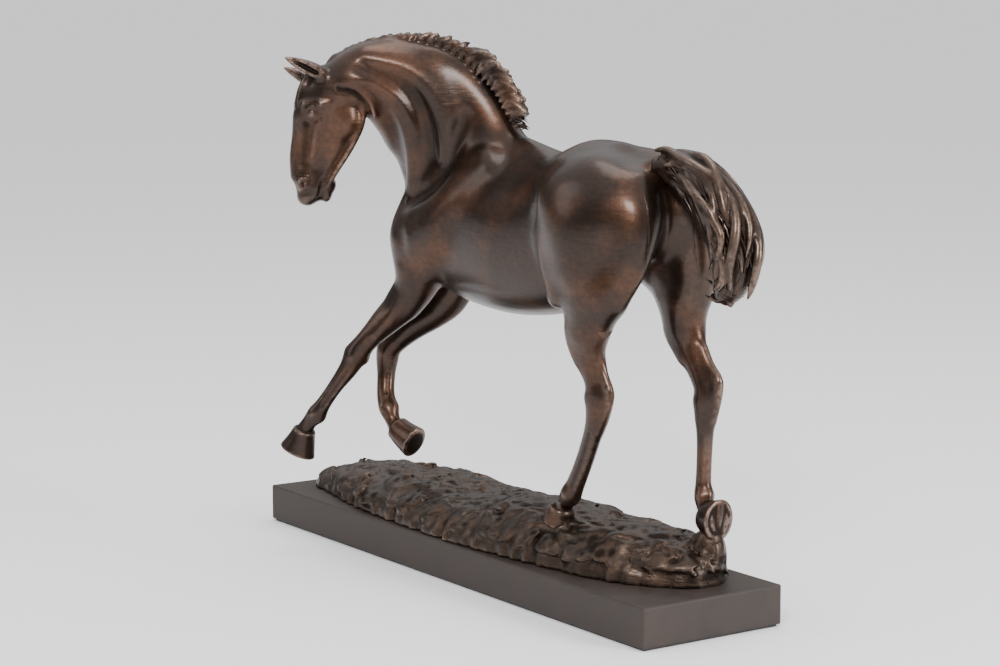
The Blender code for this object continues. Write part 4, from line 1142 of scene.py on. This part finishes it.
def finish_piece(name: str, mesh: bpy.types.Mesh, finish: bpy.types.Material,
                 open_edges: int = 0) -> bpy.types.Object:
    """Puts a finished mesh in the scene as a piece of the statuette.

    Args:
        name: name of the piece.
        mesh: its mesh, in place and in metres.
        finish: its material.
        open_edges: how many of its edges aren't between two faces, for the log.

    Returns:
        The object.
    """
    mesh.shade_smooth()
    mesh.set_sharp_from_angle(angle=SHARPEST)
    mesh.materials.clear()
    mesh.materials.append(finish)
    obj = bpy.data.objects.new(name, mesh)
    bpy.context.scene.collection.objects.link(obj)
    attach(obj, "root")
    LOG.info("%s: %d faces, %d open edges", name, len(mesh.polygons), open_edges)
    return obj


class Tree:
    """Short ways to add and link the nodes of one node tree."""

    def __init__(self, tree: bpy.types.NodeTree) -> None:
        """Takes the tree to work on."""
        self.tree = tree

    def put(self, socket: bpy.types.NodeSocket, value: object) -> None:
        """Links another node's output to an input, or sets the input's value."""
        if isinstance(value, bpy.types.NodeSocket):
            self.tree.links.new(value, socket)
        else:
            socket.default_value = value

    def add(self, kind: str, inputs: dict | None = None, **settings: object) -> bpy.types.Node:
        """Adds a node.

        Args:
            kind: Blender's name for the node type.
            inputs: input name or number to a value or to an output.
            settings: properties of the node.

        Returns:
            The node.
        """
        node = self.tree.nodes.new(kind)
        for key, value in settings.items():
            setattr(node, key, value)
        for key, value in (inputs or {}).items():
            self.put(node.inputs[key], value)
        return node

    def math(self, operation: str, first: object, second: object = 0.0, clamp: bool = False) -> object:
        """A Math node's result."""
        return self.add("ShaderNodeMath", {0: first, 1: second}, operation=operation, use_clamp=clamp).outputs[0]

    def mix(self, share: object, first: object, second: object) -> object:
        """A colour mix's result."""
        return self.add("ShaderNodeMix", {0: share, 6: first, 7: second}, data_type="RGBA").outputs[2]

    def ramp(self, value: object, low: float, high: float) -> object:
        """Maps low to high onto 0 to 1, smoothly and clamped."""
        return self.add("ShaderNodeMapRange", {"Value": value, "From Min": low, "From Max": high},
                        interpolation_type="SMOOTHSTEP").outputs["Result"]

    def noise(self, scale: object, detail: float, place: object) -> object:
        """Noise at a place, from 0 to 1."""
        return self.add("ShaderNodeTexNoise", {"Vector": place, "Scale": scale, "Detail": detail,
                                               "Roughness": 0.55}).outputs["Fac"]

    def place(self) -> object:
        """Coordinates in the object's own axes."""
        return self.add("ShaderNodeTexCoord").outputs["Object"]


def new_group(kind: str, name: str, inputs: dict, outputs: dict) -> tuple[bpy.types.NodeTree, Tree, object, object]:
    """Makes an empty node group.

    Args:
        kind: type of the tree.
        name: name of the group.
        inputs: socket name to socket type and default value, or None for no default.
        outputs: socket name to socket type.

    Returns:
        The group, its Tree, and its input and output nodes.
    """
    group = bpy.data.node_groups.new(name, kind)
    for label, (socket_type, value) in inputs.items():
        socket = group.interface.new_socket(label, in_out="INPUT", socket_type=socket_type)
        if value is not None:
            socket.default_value = value
    for label, socket_type in outputs.items():
        group.interface.new_socket(label, in_out="OUTPUT", socket_type=socket_type)
    tree = Tree(group)
    return group, tree, tree.add("NodeGroupInput"), tree.add("NodeGroupOutput")


COLOUR, NUMBER, WHOLE = "NodeSocketColor", "NodeSocketFloat", "NodeSocketInt"


class EffectGroups:
    """Shader node groups that several finishes share."""

    def __init__(self) -> None:
        """Builds each group once."""
        self.patina = self._patina()
        self.marks = self._marks()

    @staticmethod
    def _patina() -> bpy.types.NodeTree:
        """Colours of a brown patina: mottled, dark in creases and rubbed bright on ridges."""
        group, tree, given, out = new_group("ShaderNodeTree", "patina_layers", {
            "Body": (COLOUR, (0.08, 0.04, 0.02, 1)), "Warm": (COLOUR, (0.2, 0.07, 0.02, 1)),
            "Dark": (COLOUR, (0.01, 0.01, 0.01, 1)), "Rubbed": (COLOUR, (0.4, 0.25, 0.15, 1)),
            "Rub": (NUMBER, 0.0), "Edge": (NUMBER, 0.0), "Patch Scale": (NUMBER, 30.0),
            "Grain Scale": (NUMBER, 260.0), "Wear": (NUMBER, 1.0)},
            {"Color": COLOUR, "Wear": NUMBER, "Crease": NUMBER, "Patch": NUMBER})
        sockets, place = given.outputs, tree.place()
        patch = tree.ramp(tree.noise(sockets["Patch Scale"], 3.0, place), 0.42, 0.66)
        grain = tree.noise(sockets["Grain Scale"], 5.0, place)
        shade = tree.mix(patch, sockets["Body"], sockets["Warm"])
        shade = tree.mix(tree.math("MULTIPLY", tree.ramp(grain, 0.35, 0.7), 0.35), shade, sockets["Dark"])
        crease = tree.math("MAXIMUM", tree.ramp(tree.math("MULTIPLY", sockets["Rub"], -1.0), 0.02, 0.30),
                           tree.ramp(tree.math("MULTIPLY", sockets["Edge"], -1.0), 0.06, 0.5))
        shade = tree.mix(tree.math("MULTIPLY", crease, 0.85), shade, sockets["Dark"])
        wear = tree.math("MAXIMUM", tree.ramp(sockets["Rub"], 0.14, 0.55),
                         tree.math("MULTIPLY", tree.ramp(sockets["Edge"], 0.3, 0.9), 0.8))
        wear = tree.math("MULTIPLY", wear, tree.ramp(grain, 0.3, 0.62))
        wear = tree.math("MULTIPLY", wear, sockets["Wear"], clamp=True)
        shade = tree.mix(wear, shade, sockets["Rubbed"])
        for label, value in (("Color", shade), ("Wear", wear), ("Crease", crease), ("Patch", patch)):
            tree.put(out.inputs[label], value)
        return group

    @staticmethod
    def _marks() -> bpy.types.NodeTree:
        """Heights of fine tool strokes and cast grain."""
        group, tree, given, out = new_group("ShaderNodeTree", "tool_marks", {
            "Stroke Scale": (NUMBER, 120.0), "Grain Scale": (NUMBER, 900.0), "Grain": (NUMBER, 0.4)},
            {"Height": NUMBER})
        place = tree.place()
        turned = tree.add("ShaderNodeMapping", {"Vector": place, "Rotation": (0.4, 0.9, 0.5),
                                                "Scale": (1, 1, 4.5)}).outputs["Vector"]
        stroke = tree.noise(given.outputs["Stroke Scale"], 3.0, turned)
        grain = tree.noise(given.outputs["Grain Scale"], 2.0, place)
        total = tree.math("ADD", stroke, tree.math("MULTIPLY", grain, given.outputs["Grain"]))
        tree.put(out.inputs["Height"], total)
        return group

    def roughen(self, tree: Tree, shader: bpy.types.Node, scales: tuple[float, float], grain: float,
                depth: float) -> None:
        """Bumps a shader with the tool marks: stroke and grain scale, share of grain, depth in metres."""
        marks = tree.add("ShaderNodeGroup", node_tree=self.marks)
        for label, value in (("Stroke Scale", scales[0]), ("Grain Scale", scales[1]), ("Grain", grain)):
            tree.put(marks.inputs[label], value)
        bump = tree.add("ShaderNodeBump", {"Strength": 1.0, "Distance": depth, "Height": marks.outputs["Height"]})
        tree.put(shader.inputs["Normal"], bump.outputs["Normal"])


def new_material(name: str) -> tuple[bpy.types.Material, Tree, bpy.types.Node]:
    """A new material with its Tree and its Principled shader."""
    made = bpy.data.materials.new(name)
    made.use_nodes = True
    return made, Tree(made.node_tree), made.node_tree.nodes["Principled BSDF"]


@dataclass(frozen=True)
class BronzeFinish:
    """Brown patina over cast bronze, waxed and buffed."""

    name: str
    body: tuple = (0.036, 0.021, 0.015, 1)
    warm: tuple = (0.082, 0.037, 0.020, 1)
    dark: tuple = (0.014, 0.009, 0.007, 1)
    rubbed: tuple = (0.23, 0.155, 0.12, 1)
    patch_scale: float = 24.0
    grain_scale: float = 330.0
    wear: float = 0.8
    smooth: float = 0.34
    rough: float = 0.5
    coat: float = 0.32
    coat_roughness: float = 0.2
    metallic: float = 0.9
    stroke_scale: float = 90.0
    grain: float = 0.35
    depth: float = 0.00022

    def material(self, effects: EffectGroups) -> bpy.types.Material:
        """The finish as a material."""
        made, tree, shader = new_material(self.name)
        rub, edge = (tree.add("ShaderNodeAttribute", attribute_name=label) for label in ("rub", "edge"))
        patina = tree.add("ShaderNodeGroup", node_tree=effects.patina)
        for label, value in (("Body", self.body), ("Warm", self.warm), ("Dark", self.dark),
                             ("Rubbed", self.rubbed), ("Rub", rub.outputs["Fac"]), ("Edge", edge.outputs["Fac"]),
                             ("Patch Scale", self.patch_scale), ("Grain Scale", self.grain_scale),
                             ("Wear", self.wear)):
            tree.put(patina.inputs[label], value)
        crease, patch = patina.outputs["Crease"], patina.outputs["Patch"]
        rough = tree.math("ADD", tree.math("MULTIPLY", crease, self.rough - self.smooth),
                          tree.math("MULTIPLY", patch, 0.06))
        coat = tree.math("MULTIPLY", tree.math("SUBTRACT", 1.0, crease), self.coat)
        for label, value in (("Base Color", patina.outputs["Color"]), ("Coat Weight", coat),
                             ("Roughness", tree.math("ADD", rough, self.smooth, clamp=True)),
                             ("Coat Roughness", self.coat_roughness), ("Metallic", self.metallic)):
            tree.put(shader.inputs[label], value)
        effects.roughen(tree, shader, (self.stroke_scale, self.stroke_scale * 9), self.grain, self.depth)
        return made


@dataclass(frozen=True)
class PlainFinish:
    """A simple coat, metal or cloth with a mottled colour and a fine surface."""

    name: str
    light: tuple
    dark: tuple
    roughness: float
    metallic: float = 0.0
    sheen: float = 0.0
    patch_scale: float = 60.0
    stroke_scale: float = 260.0
    depth: float = 0.00005

    def material(self, effects: EffectGroups) -> bpy.types.Material:
        """The finish as a material."""
        made, tree, shader = new_material(self.name)
        place = tree.place()
        share = tree.math("ADD", *(
            tree.math("MULTIPLY", tree.add("ShaderNodeTexNoise", {"Vector": place, "Scale": scale, "Detail": detail})
                      .outputs["Fac"], weight)
            for scale, detail, weight in ((self.patch_scale, 4.0, 0.6), (self.patch_scale * 25, 2.0, 0.4))))
        share = tree.ramp(share, 0.35, 0.65)
        rough = tree.math("ADD", tree.math("MULTIPLY", share, 0.1), self.roughness - 0.05, clamp=True)
        for label, value in (("Base Color", tree.mix(share, self.dark, self.light)), ("Roughness", rough),
                             ("Metallic", self.metallic), ("Sheen Weight", self.sheen)):
            tree.put(shader.inputs[label], value)
        effects.roughen(tree, shader, (self.stroke_scale, self.stroke_scale * 8), 0.8, self.depth)
        return made


class MeshTree:
    """Geometry Nodes tree from a mesh to a mesh in one material."""

    name = ""
    inputs: dict = {}

    def __init__(self) -> None:
        """Builds the tree, with its instances made real and its material set last."""
        shape = "NodeSocketGeometry"
        self.group, tree, given, out = new_group(
            "GeometryNodeTree", self.name, {"Geometry": (shape, None), **self.inputs,
                                            "Material": ("NodeSocketMaterial", None)}, {"Geometry": shape})
        real = tree.add("GeometryNodeRealizeInstances", {"Geometry": self.make(tree, given.outputs)})
        dress = tree.add("GeometryNodeSetMaterial", {"Geometry": real.outputs["Geometry"],
                                                     "Material": given.outputs["Material"]})
        tree.put(out.inputs["Geometry"], dress.outputs["Geometry"])

    def make(self, tree: Tree, given: object) -> object:
        """Adds the nodes between the group's input and the realized mesh, and returns their output."""
        raise NotImplementedError

    def evaluate(self, mesh: bpy.types.Mesh, **inputs: object) -> bpy.types.Mesh:
        """Runs the tree on a mesh.

        Args:
            mesh: what goes in.
            inputs: values of its named inputs.

        Returns:
            A plain mesh of what comes out.
        """
        holder = bpy.data.objects.new("holder", mesh)
        bpy.context.scene.collection.objects.link(holder)
        modifier = holder.modifiers.new("nodes", "NODES")
        modifier.node_group = self.group
        for item in self.group.interface.items_tree:
            if item.item_type == "SOCKET" and item.in_out == "INPUT" and item.name in inputs:
                modifier[item.identifier] = inputs[item.name]
        graph = bpy.context.evaluated_depsgraph_get()
        made = bpy.data.meshes.new_from_object(holder.evaluated_get(graph))
        bpy.data.objects.remove(holder)
        return made


class StrandTree(MeshTree):
    """Sweeps a tapering round hair along each polyline of a mesh."""

    name = "hair_strands"
    inputs = {"Thickness": (NUMBER, 0.0005), "Sides": (WHOLE, 5)}

    def make(self, tree: Tree, given: object) -> object:
        """Adds the sweep."""
        curves = tree.add("GeometryNodeMeshToCurve", {"Mesh": given["Geometry"]})
        place = tree.add("GeometryNodeSplineParameter").outputs["Factor"]
        bulge = tree.math("SINE", tree.math("ADD", tree.math("MULTIPLY", place, math.pi * 0.92), 0.18))
        radius = tree.math("MULTIPLY", tree.math("POWER", bulge, 0.6), given["Thickness"])
        thick = tree.add("GeometryNodeSetCurveRadius", {"Curve": curves.outputs["Curve"], "Radius": radius})
        ring = tree.add("GeometryNodeCurvePrimitiveCircle", {"Radius": 1.0, "Resolution": given["Sides"]},
                        mode="RADIUS")
        sweep = tree.add("GeometryNodeCurveToMesh", {"Curve": thick.outputs["Curve"],
                                                     "Profile Curve": ring.outputs["Curve"], "Fill Caps": True})
        if "Scale" in sweep.inputs:
            tree.put(sweep.inputs["Scale"], radius)
        return sweep.outputs["Mesh"]

    def grow(self, name: str, paths: list[np.ndarray], thickness: float, lift: float,
             finish: bpy.types.Material) -> bpy.types.Object:
        """Makes one piece of hair.

        Args:
            name: name of the piece.
            paths: points of each hair in millimetres.
            thickness: radius of a hair in metres.
            lift: height of the plinth's underside in millimetres.
            finish: its material.

        Returns:
            The piece.
        """
        points, edges = [], []
        for path in paths:
            first = len(points)
            points += [(p[0] * MM, p[1] * MM, (p[2] + lift) * MM) for p in path]
            edges += [(index, index + 1) for index in range(first, len(points) - 1)]
        mesh = bpy.data.meshes.new(f"{name}_paths")
        mesh.from_pydata(points, edges, [])
        return finish_piece(name, self.evaluate(mesh, Thickness=thickness, Sides=5, Material=finish), finish)


class GritTree(MeshTree):
    """Scatters small lumps over a surface."""

    name = "cast_grit"
    inputs = {"Density": (NUMBER, 20000.0), "Size": (NUMBER, 0.001), "Seed": (WHOLE, 1)}

    def make(self, tree: Tree, given: object) -> object:
        """Adds the scattering of dented lumps."""
        scatter = tree.add("GeometryNodeDistributePointsOnFaces", {
            "Mesh": given["Geometry"], "Density": given["Density"], "Seed": given["Seed"]})
        lump = tree.add("GeometryNodeMeshIcoSphere", {"Subdivisions": 2, "Radius": given["Size"]})
        wave = tree.add("ShaderNodeTexNoise", {"Scale": 900.0, "Detail": 1.0})
        centred = tree.add("ShaderNodeVectorMath", {0: wave.outputs["Color"], 1: (0.5, 0.5, 0.5)},
                           operation="SUBTRACT")
        push = tree.add("ShaderNodeVectorMath", {0: centred.outputs[0], "Scale": given["Size"]}, operation="SCALE")
        dent = tree.add("GeometryNodeSetPosition", {"Geometry": lump.outputs["Mesh"], "Offset": push.outputs[0]})
        scale = tree.add("FunctionNodeRandomValue", {0: (0.5, 0.5, 0.3), 1: (1.7, 1.3, 0.7)},
                         data_type="FLOAT_VECTOR")
        return tree.add("GeometryNodeInstanceOnPoints", {
            "Points": scatter.outputs["Points"], "Instance": dent.outputs["Geometry"],
            "Rotation": scatter.outputs["Rotation"], "Scale": scale.outputs[0]}).outputs["Instances"]


class Statuette:
    """All the pieces of the bronze, made in order."""

    mass_blur = 1.6             # how far the large masses are smoothed, in millimetres
    mane_hair = 0.00042         # radius of a hair, in metres
    tail_hair = 0.00055

    def __init__(self, frame: dict, effects: EffectGroups) -> None:
        """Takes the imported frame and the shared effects."""
        self.frame = frame
        self.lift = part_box("plinth")[0][2] / MM
        self.foundry = Foundry(self.lift)
        self.strands = StrandTree()
        self.bronze = BronzeFinish("bronze_brown_patina").material(effects)
        self.hair = BronzeFinish("bronze_hair", body=(0.045, 0.028, 0.02, 1), warm=(0.07, 0.04, 0.027, 1),
                                 rubbed=(0.22, 0.15, 0.11, 1), wear=0.7, smooth=0.34, coat=0.35,
                                 patch_scale=40, depth=0.0001).material(effects)
        self.soil = BronzeFinish("bronze_earth", body=(0.045, 0.029, 0.02, 1), warm=(0.075, 0.045, 0.03, 1),
                                 rubbed=(0.2, 0.135, 0.1, 1), wear=0.8, smooth=0.36, rough=0.62, coat=0.25,
                                 coat_roughness=0.25, patch_scale=50, stroke_scale=160,
                                 depth=0.0004).material(effects)
        self.effects = effects

    def _cast(self, name: str, low: tuple, high: tuple, grain: float, masses: list[Stroke],
              details: list[Stroke], cuts: dict[str, int], rounds: int, finish: bpy.types.Material) -> None:
        """Models and casts one piece that stands for the node NAME_casting."""
        clay = Clay(low, high, grain)
        for stroke in masses:
            clay.model(stroke)
        clay.soften(round(2 * (self.mass_blur / grain) ** 2))
        for stroke in details:
            clay.model(stroke)
        clay.soften(1)
        piece = self.foundry.cast(name, clay, cuts, rounds, finish)
        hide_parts(f"{name}_casting")

    def cast_horse(self) -> None:
        """The seven castings of the horse."""
        trunk, neck, mane, tail = Trunk(), Neck(), Mane(), Tail()
        limbs = legs()
        body = trunk.strokes()
        neck_clay = neck.strokes()
        tops = [Stroke(limb.bones[:4], limb.side, 3.5, dome=0.5, steps=6) for limb in limbs]
        tops += [stroke for limb in limbs for stroke in limb.knobs]
        root = Stroke(tail.stations[:4], ACROSS, 4)
        cuts = {name: -1 for name in SEAMS}
        self._cast("torso", trunk.low, trunk.high, 1.15, body + neck_clay + tops + [root], [],
                   cuts, 5, self.bronze)
        self._cast("head_and_neck", (-30, -34, 226), (112, 134, 346), 0.8,
                   body + neck_clay, mane.strokes() + Head().strokes(), {"neck": 1}, 4, self.bronze)
        for limb in limbs:
            self._cast(limb.name, limb.low, limb.high, 0.55, body + limb.strokes(), limb.foot(),
                       {limb.name: 1}, 4, self.bronze)
        self._cast("tail", (-236, -34, 176), (-148, 18, 290), 0.6, body, tail.strokes(), {"tail": 1}, 3,
                   self.hair)
        self.strands.grow("mane_hairs", mane.strand_paths(), self.mane_hair, self.lift, self.hair)
        self.strands.grow("tail_hairs", tail.strand_paths(), self.tail_hair, self.lift, self.hair)

    def cast_earth(self) -> None:
        """The earth with its grit."""
        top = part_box("ground_casting")[0][2] / MM - self.lift
        earth = Earth(top)
        rng = np.random.default_rng(earth.seed)
        clay = Clay((-196, -54, top - 4), (196, 54, top + 36), earth.grain)
        x, y, _ = clay.axes(np.zeros(3, int), clay.count)
        clay.heap(earth.heights(x[:, :, 0].astype(float), y[:, :, 0].astype(float)))
        for stroke in earth.strokes(rng):
            clay.model(stroke)
        floor = clay.low[2] + clay.grain * np.arange(clay.count[2])
        clay.distance = np.maximum(clay.distance, (top - floor)[None, None, :].astype(np.float32))
        piece = self.foundry.cast("ground", clay, {}, 3, self.soil)
        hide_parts("ground_casting")
        grit = GritTree().evaluate(piece.data.copy(), Density=5000.0, Size=0.0007, Seed=4, Material=self.soil)
        finish_piece("ground_grit", grit, self.soil)

    def dress_frame(self) -> None:
        """Finishes of the nodes that stay as they are."""
        paint = PlainFinish("plinth_dark_paint", (0.036, 0.024, 0.019, 1), (0.021, 0.014, 0.011, 1), 0.6)
        steel = PlainFinish("zinc_steel", (0.6, 0.6, 0.58, 1), (0.42, 0.42, 0.41, 1), 0.35, metallic=1.0)
        felt = PlainFinish("black_felt", (0.03, 0.03, 0.03, 1), (0.012, 0.012, 0.012, 1), 0.92, sheen=0.5,
                           patch_scale=200, stroke_scale=1500, depth=0.0002)
        finishes = {"plinth": paint.material(self.effects), "felt_base": felt.material(self.effects)}
        metal = steel.material(self.effects)
        for name, node in self.frame["nodes"].items():
            if name.endswith("_casting"):
                continue
            finish = self.bronze if name == "neck_sleeve" else finishes.get(name, metal)
            for slot in node.material_slots:
                slot.material = finish
            LOG.info("%s keeps its shape, in %s", name, finish.name)


@dataclass(frozen=True)
class Lamp:
    """A softbox: its place, what it faces, its size, its power and its colour."""

    name: str
    place: tuple
    target: tuple
    size: tuple
    power: float
    colour: tuple = (1.0, 1.0, 1.0)

    def hang(self) -> None:
        """Adds the light to the scene."""
        data = bpy.data.lights.new(self.name, "AREA")
        data.shape = "RECTANGLE"
        data.size, data.size_y = self.size
        data.energy = self.power
        data.color = self.colour
        obj = bpy.data.objects.new(self.name, data)
        bpy.context.scene.collection.objects.link(obj)
        place = Vector(self.place)
        turn = (Vector(self.target) - place).to_track_quat("-Z", "Y")
        obj.matrix_world = Matrix.Translation(place) @ turn.to_matrix().to_4x4()


@dataclass
class Studio:
    """Pale floor, soft lights and the camera."""

    floor_radius: float = 300.0
    floor_colour: tuple = (0.93, 0.93, 0.935, 1)
    world_colour: tuple = (0.80, 0.80, 0.81, 1)
    horizon_strength: float = 0.12
    zenith_strength: float = 1.6
    camera_place: tuple = (-1.2569, 0.8664, 0.3639)
    camera_aim: tuple = (0.8162, -0.5609, -0.1379)
    lens: float = 88.28

    def build(self) -> None:
        """Sets up all of it."""
        self._floor()
        self._world()
        for lamp in self._lamps():
            lamp.hang()
        self._camera()

    def _floor(self) -> None:
        """A wide pale floor under the felt."""
        bm = bmesh.new()
        bmesh.ops.create_circle(bm, cap_ends=True, segments=128, radius=self.floor_radius)
        mesh = bpy.data.meshes.new("floor")
        bm.to_mesh(mesh)
        bm.free()
        made, tree, shader = new_material("floor_paper")
        for label, value in (("Base Color", self.floor_colour), ("Roughness", 0.85), ("Specular IOR Level", 0.2)):
            tree.put(shader.inputs[label], value)
        mesh.materials.append(made)
        floor = bpy.data.objects.new("floor", mesh)
        bpy.context.scene.collection.objects.link(floor)

    def _world(self) -> None:
        """Pale light, faint at the horizon and strong overhead."""
        world = bpy.data.worlds.new("studio")
        bpy.context.scene.world = world
        world.use_nodes = True
        back = world.node_tree.nodes["Background"]
        back.inputs["Color"].default_value = self.world_colour
        tree = Tree(world.node_tree)
        upward = tree.add("ShaderNodeTexCoord").outputs["Generated"]
        split = tree.add("ShaderNodeSeparateXYZ", {"Vector": upward})
        rise = tree.ramp(split.outputs["Z"], 0.0, 0.85)
        strength = tree.math("ADD", tree.math("MULTIPLY", rise, self.zenith_strength), self.horizon_strength)
        tree.put(back.inputs["Strength"], strength)

    @staticmethod
    def _lamps() -> list[Lamp]:
        """The softboxes."""
        middle = (0.0, 0.0, 0.16)
        return [
            Lamp("key_softbox", (-1.25, 1.15, 1.1), middle, (0.42, 0.42), 20.0),
            Lamp("side_softbox", (0.9, 1.5, 0.9), middle, (0.5, 0.9), 4.0),
            Lamp("rear_softbox", (-1.7, -0.7, 0.7), middle, (0.6, 0.8), 26.0),
            Lamp("top_softbox", (0.1, -0.1, 1.9), middle, (1.0, 1.0), 12.0),
        ]

    def _camera(self) -> None:
        """The camera, level and without shift."""
        data = bpy.data.cameras.new("camera")
        data.lens = self.lens
        data.sensor_width = 36.0
        data.clip_start, data.clip_end = 0.05, 400.0
        camera = bpy.data.objects.new("camera", data)
        bpy.context.scene.collection.objects.link(camera)
        aim = Vector(self.camera_aim).to_track_quat("-Z", "Y")
        camera.matrix_world = Matrix.Translation(self.camera_place) @ aim.to_matrix().to_4x4()
        bpy.context.scene.camera = camera


def main() -> None:
    """Builds the statuette, its studio and the camera."""
    logging.basicConfig(level=logging.INFO, stream=sys.stdout, format="%(name)s: %(message)s")
    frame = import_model()
    statuette = Statuette(frame, EffectGroups())
    statuette.cast_horse()
    statuette.cast_earth()
    statuette.dress_frame()
    Studio().build()


if __name__ == "__main__":
    main()
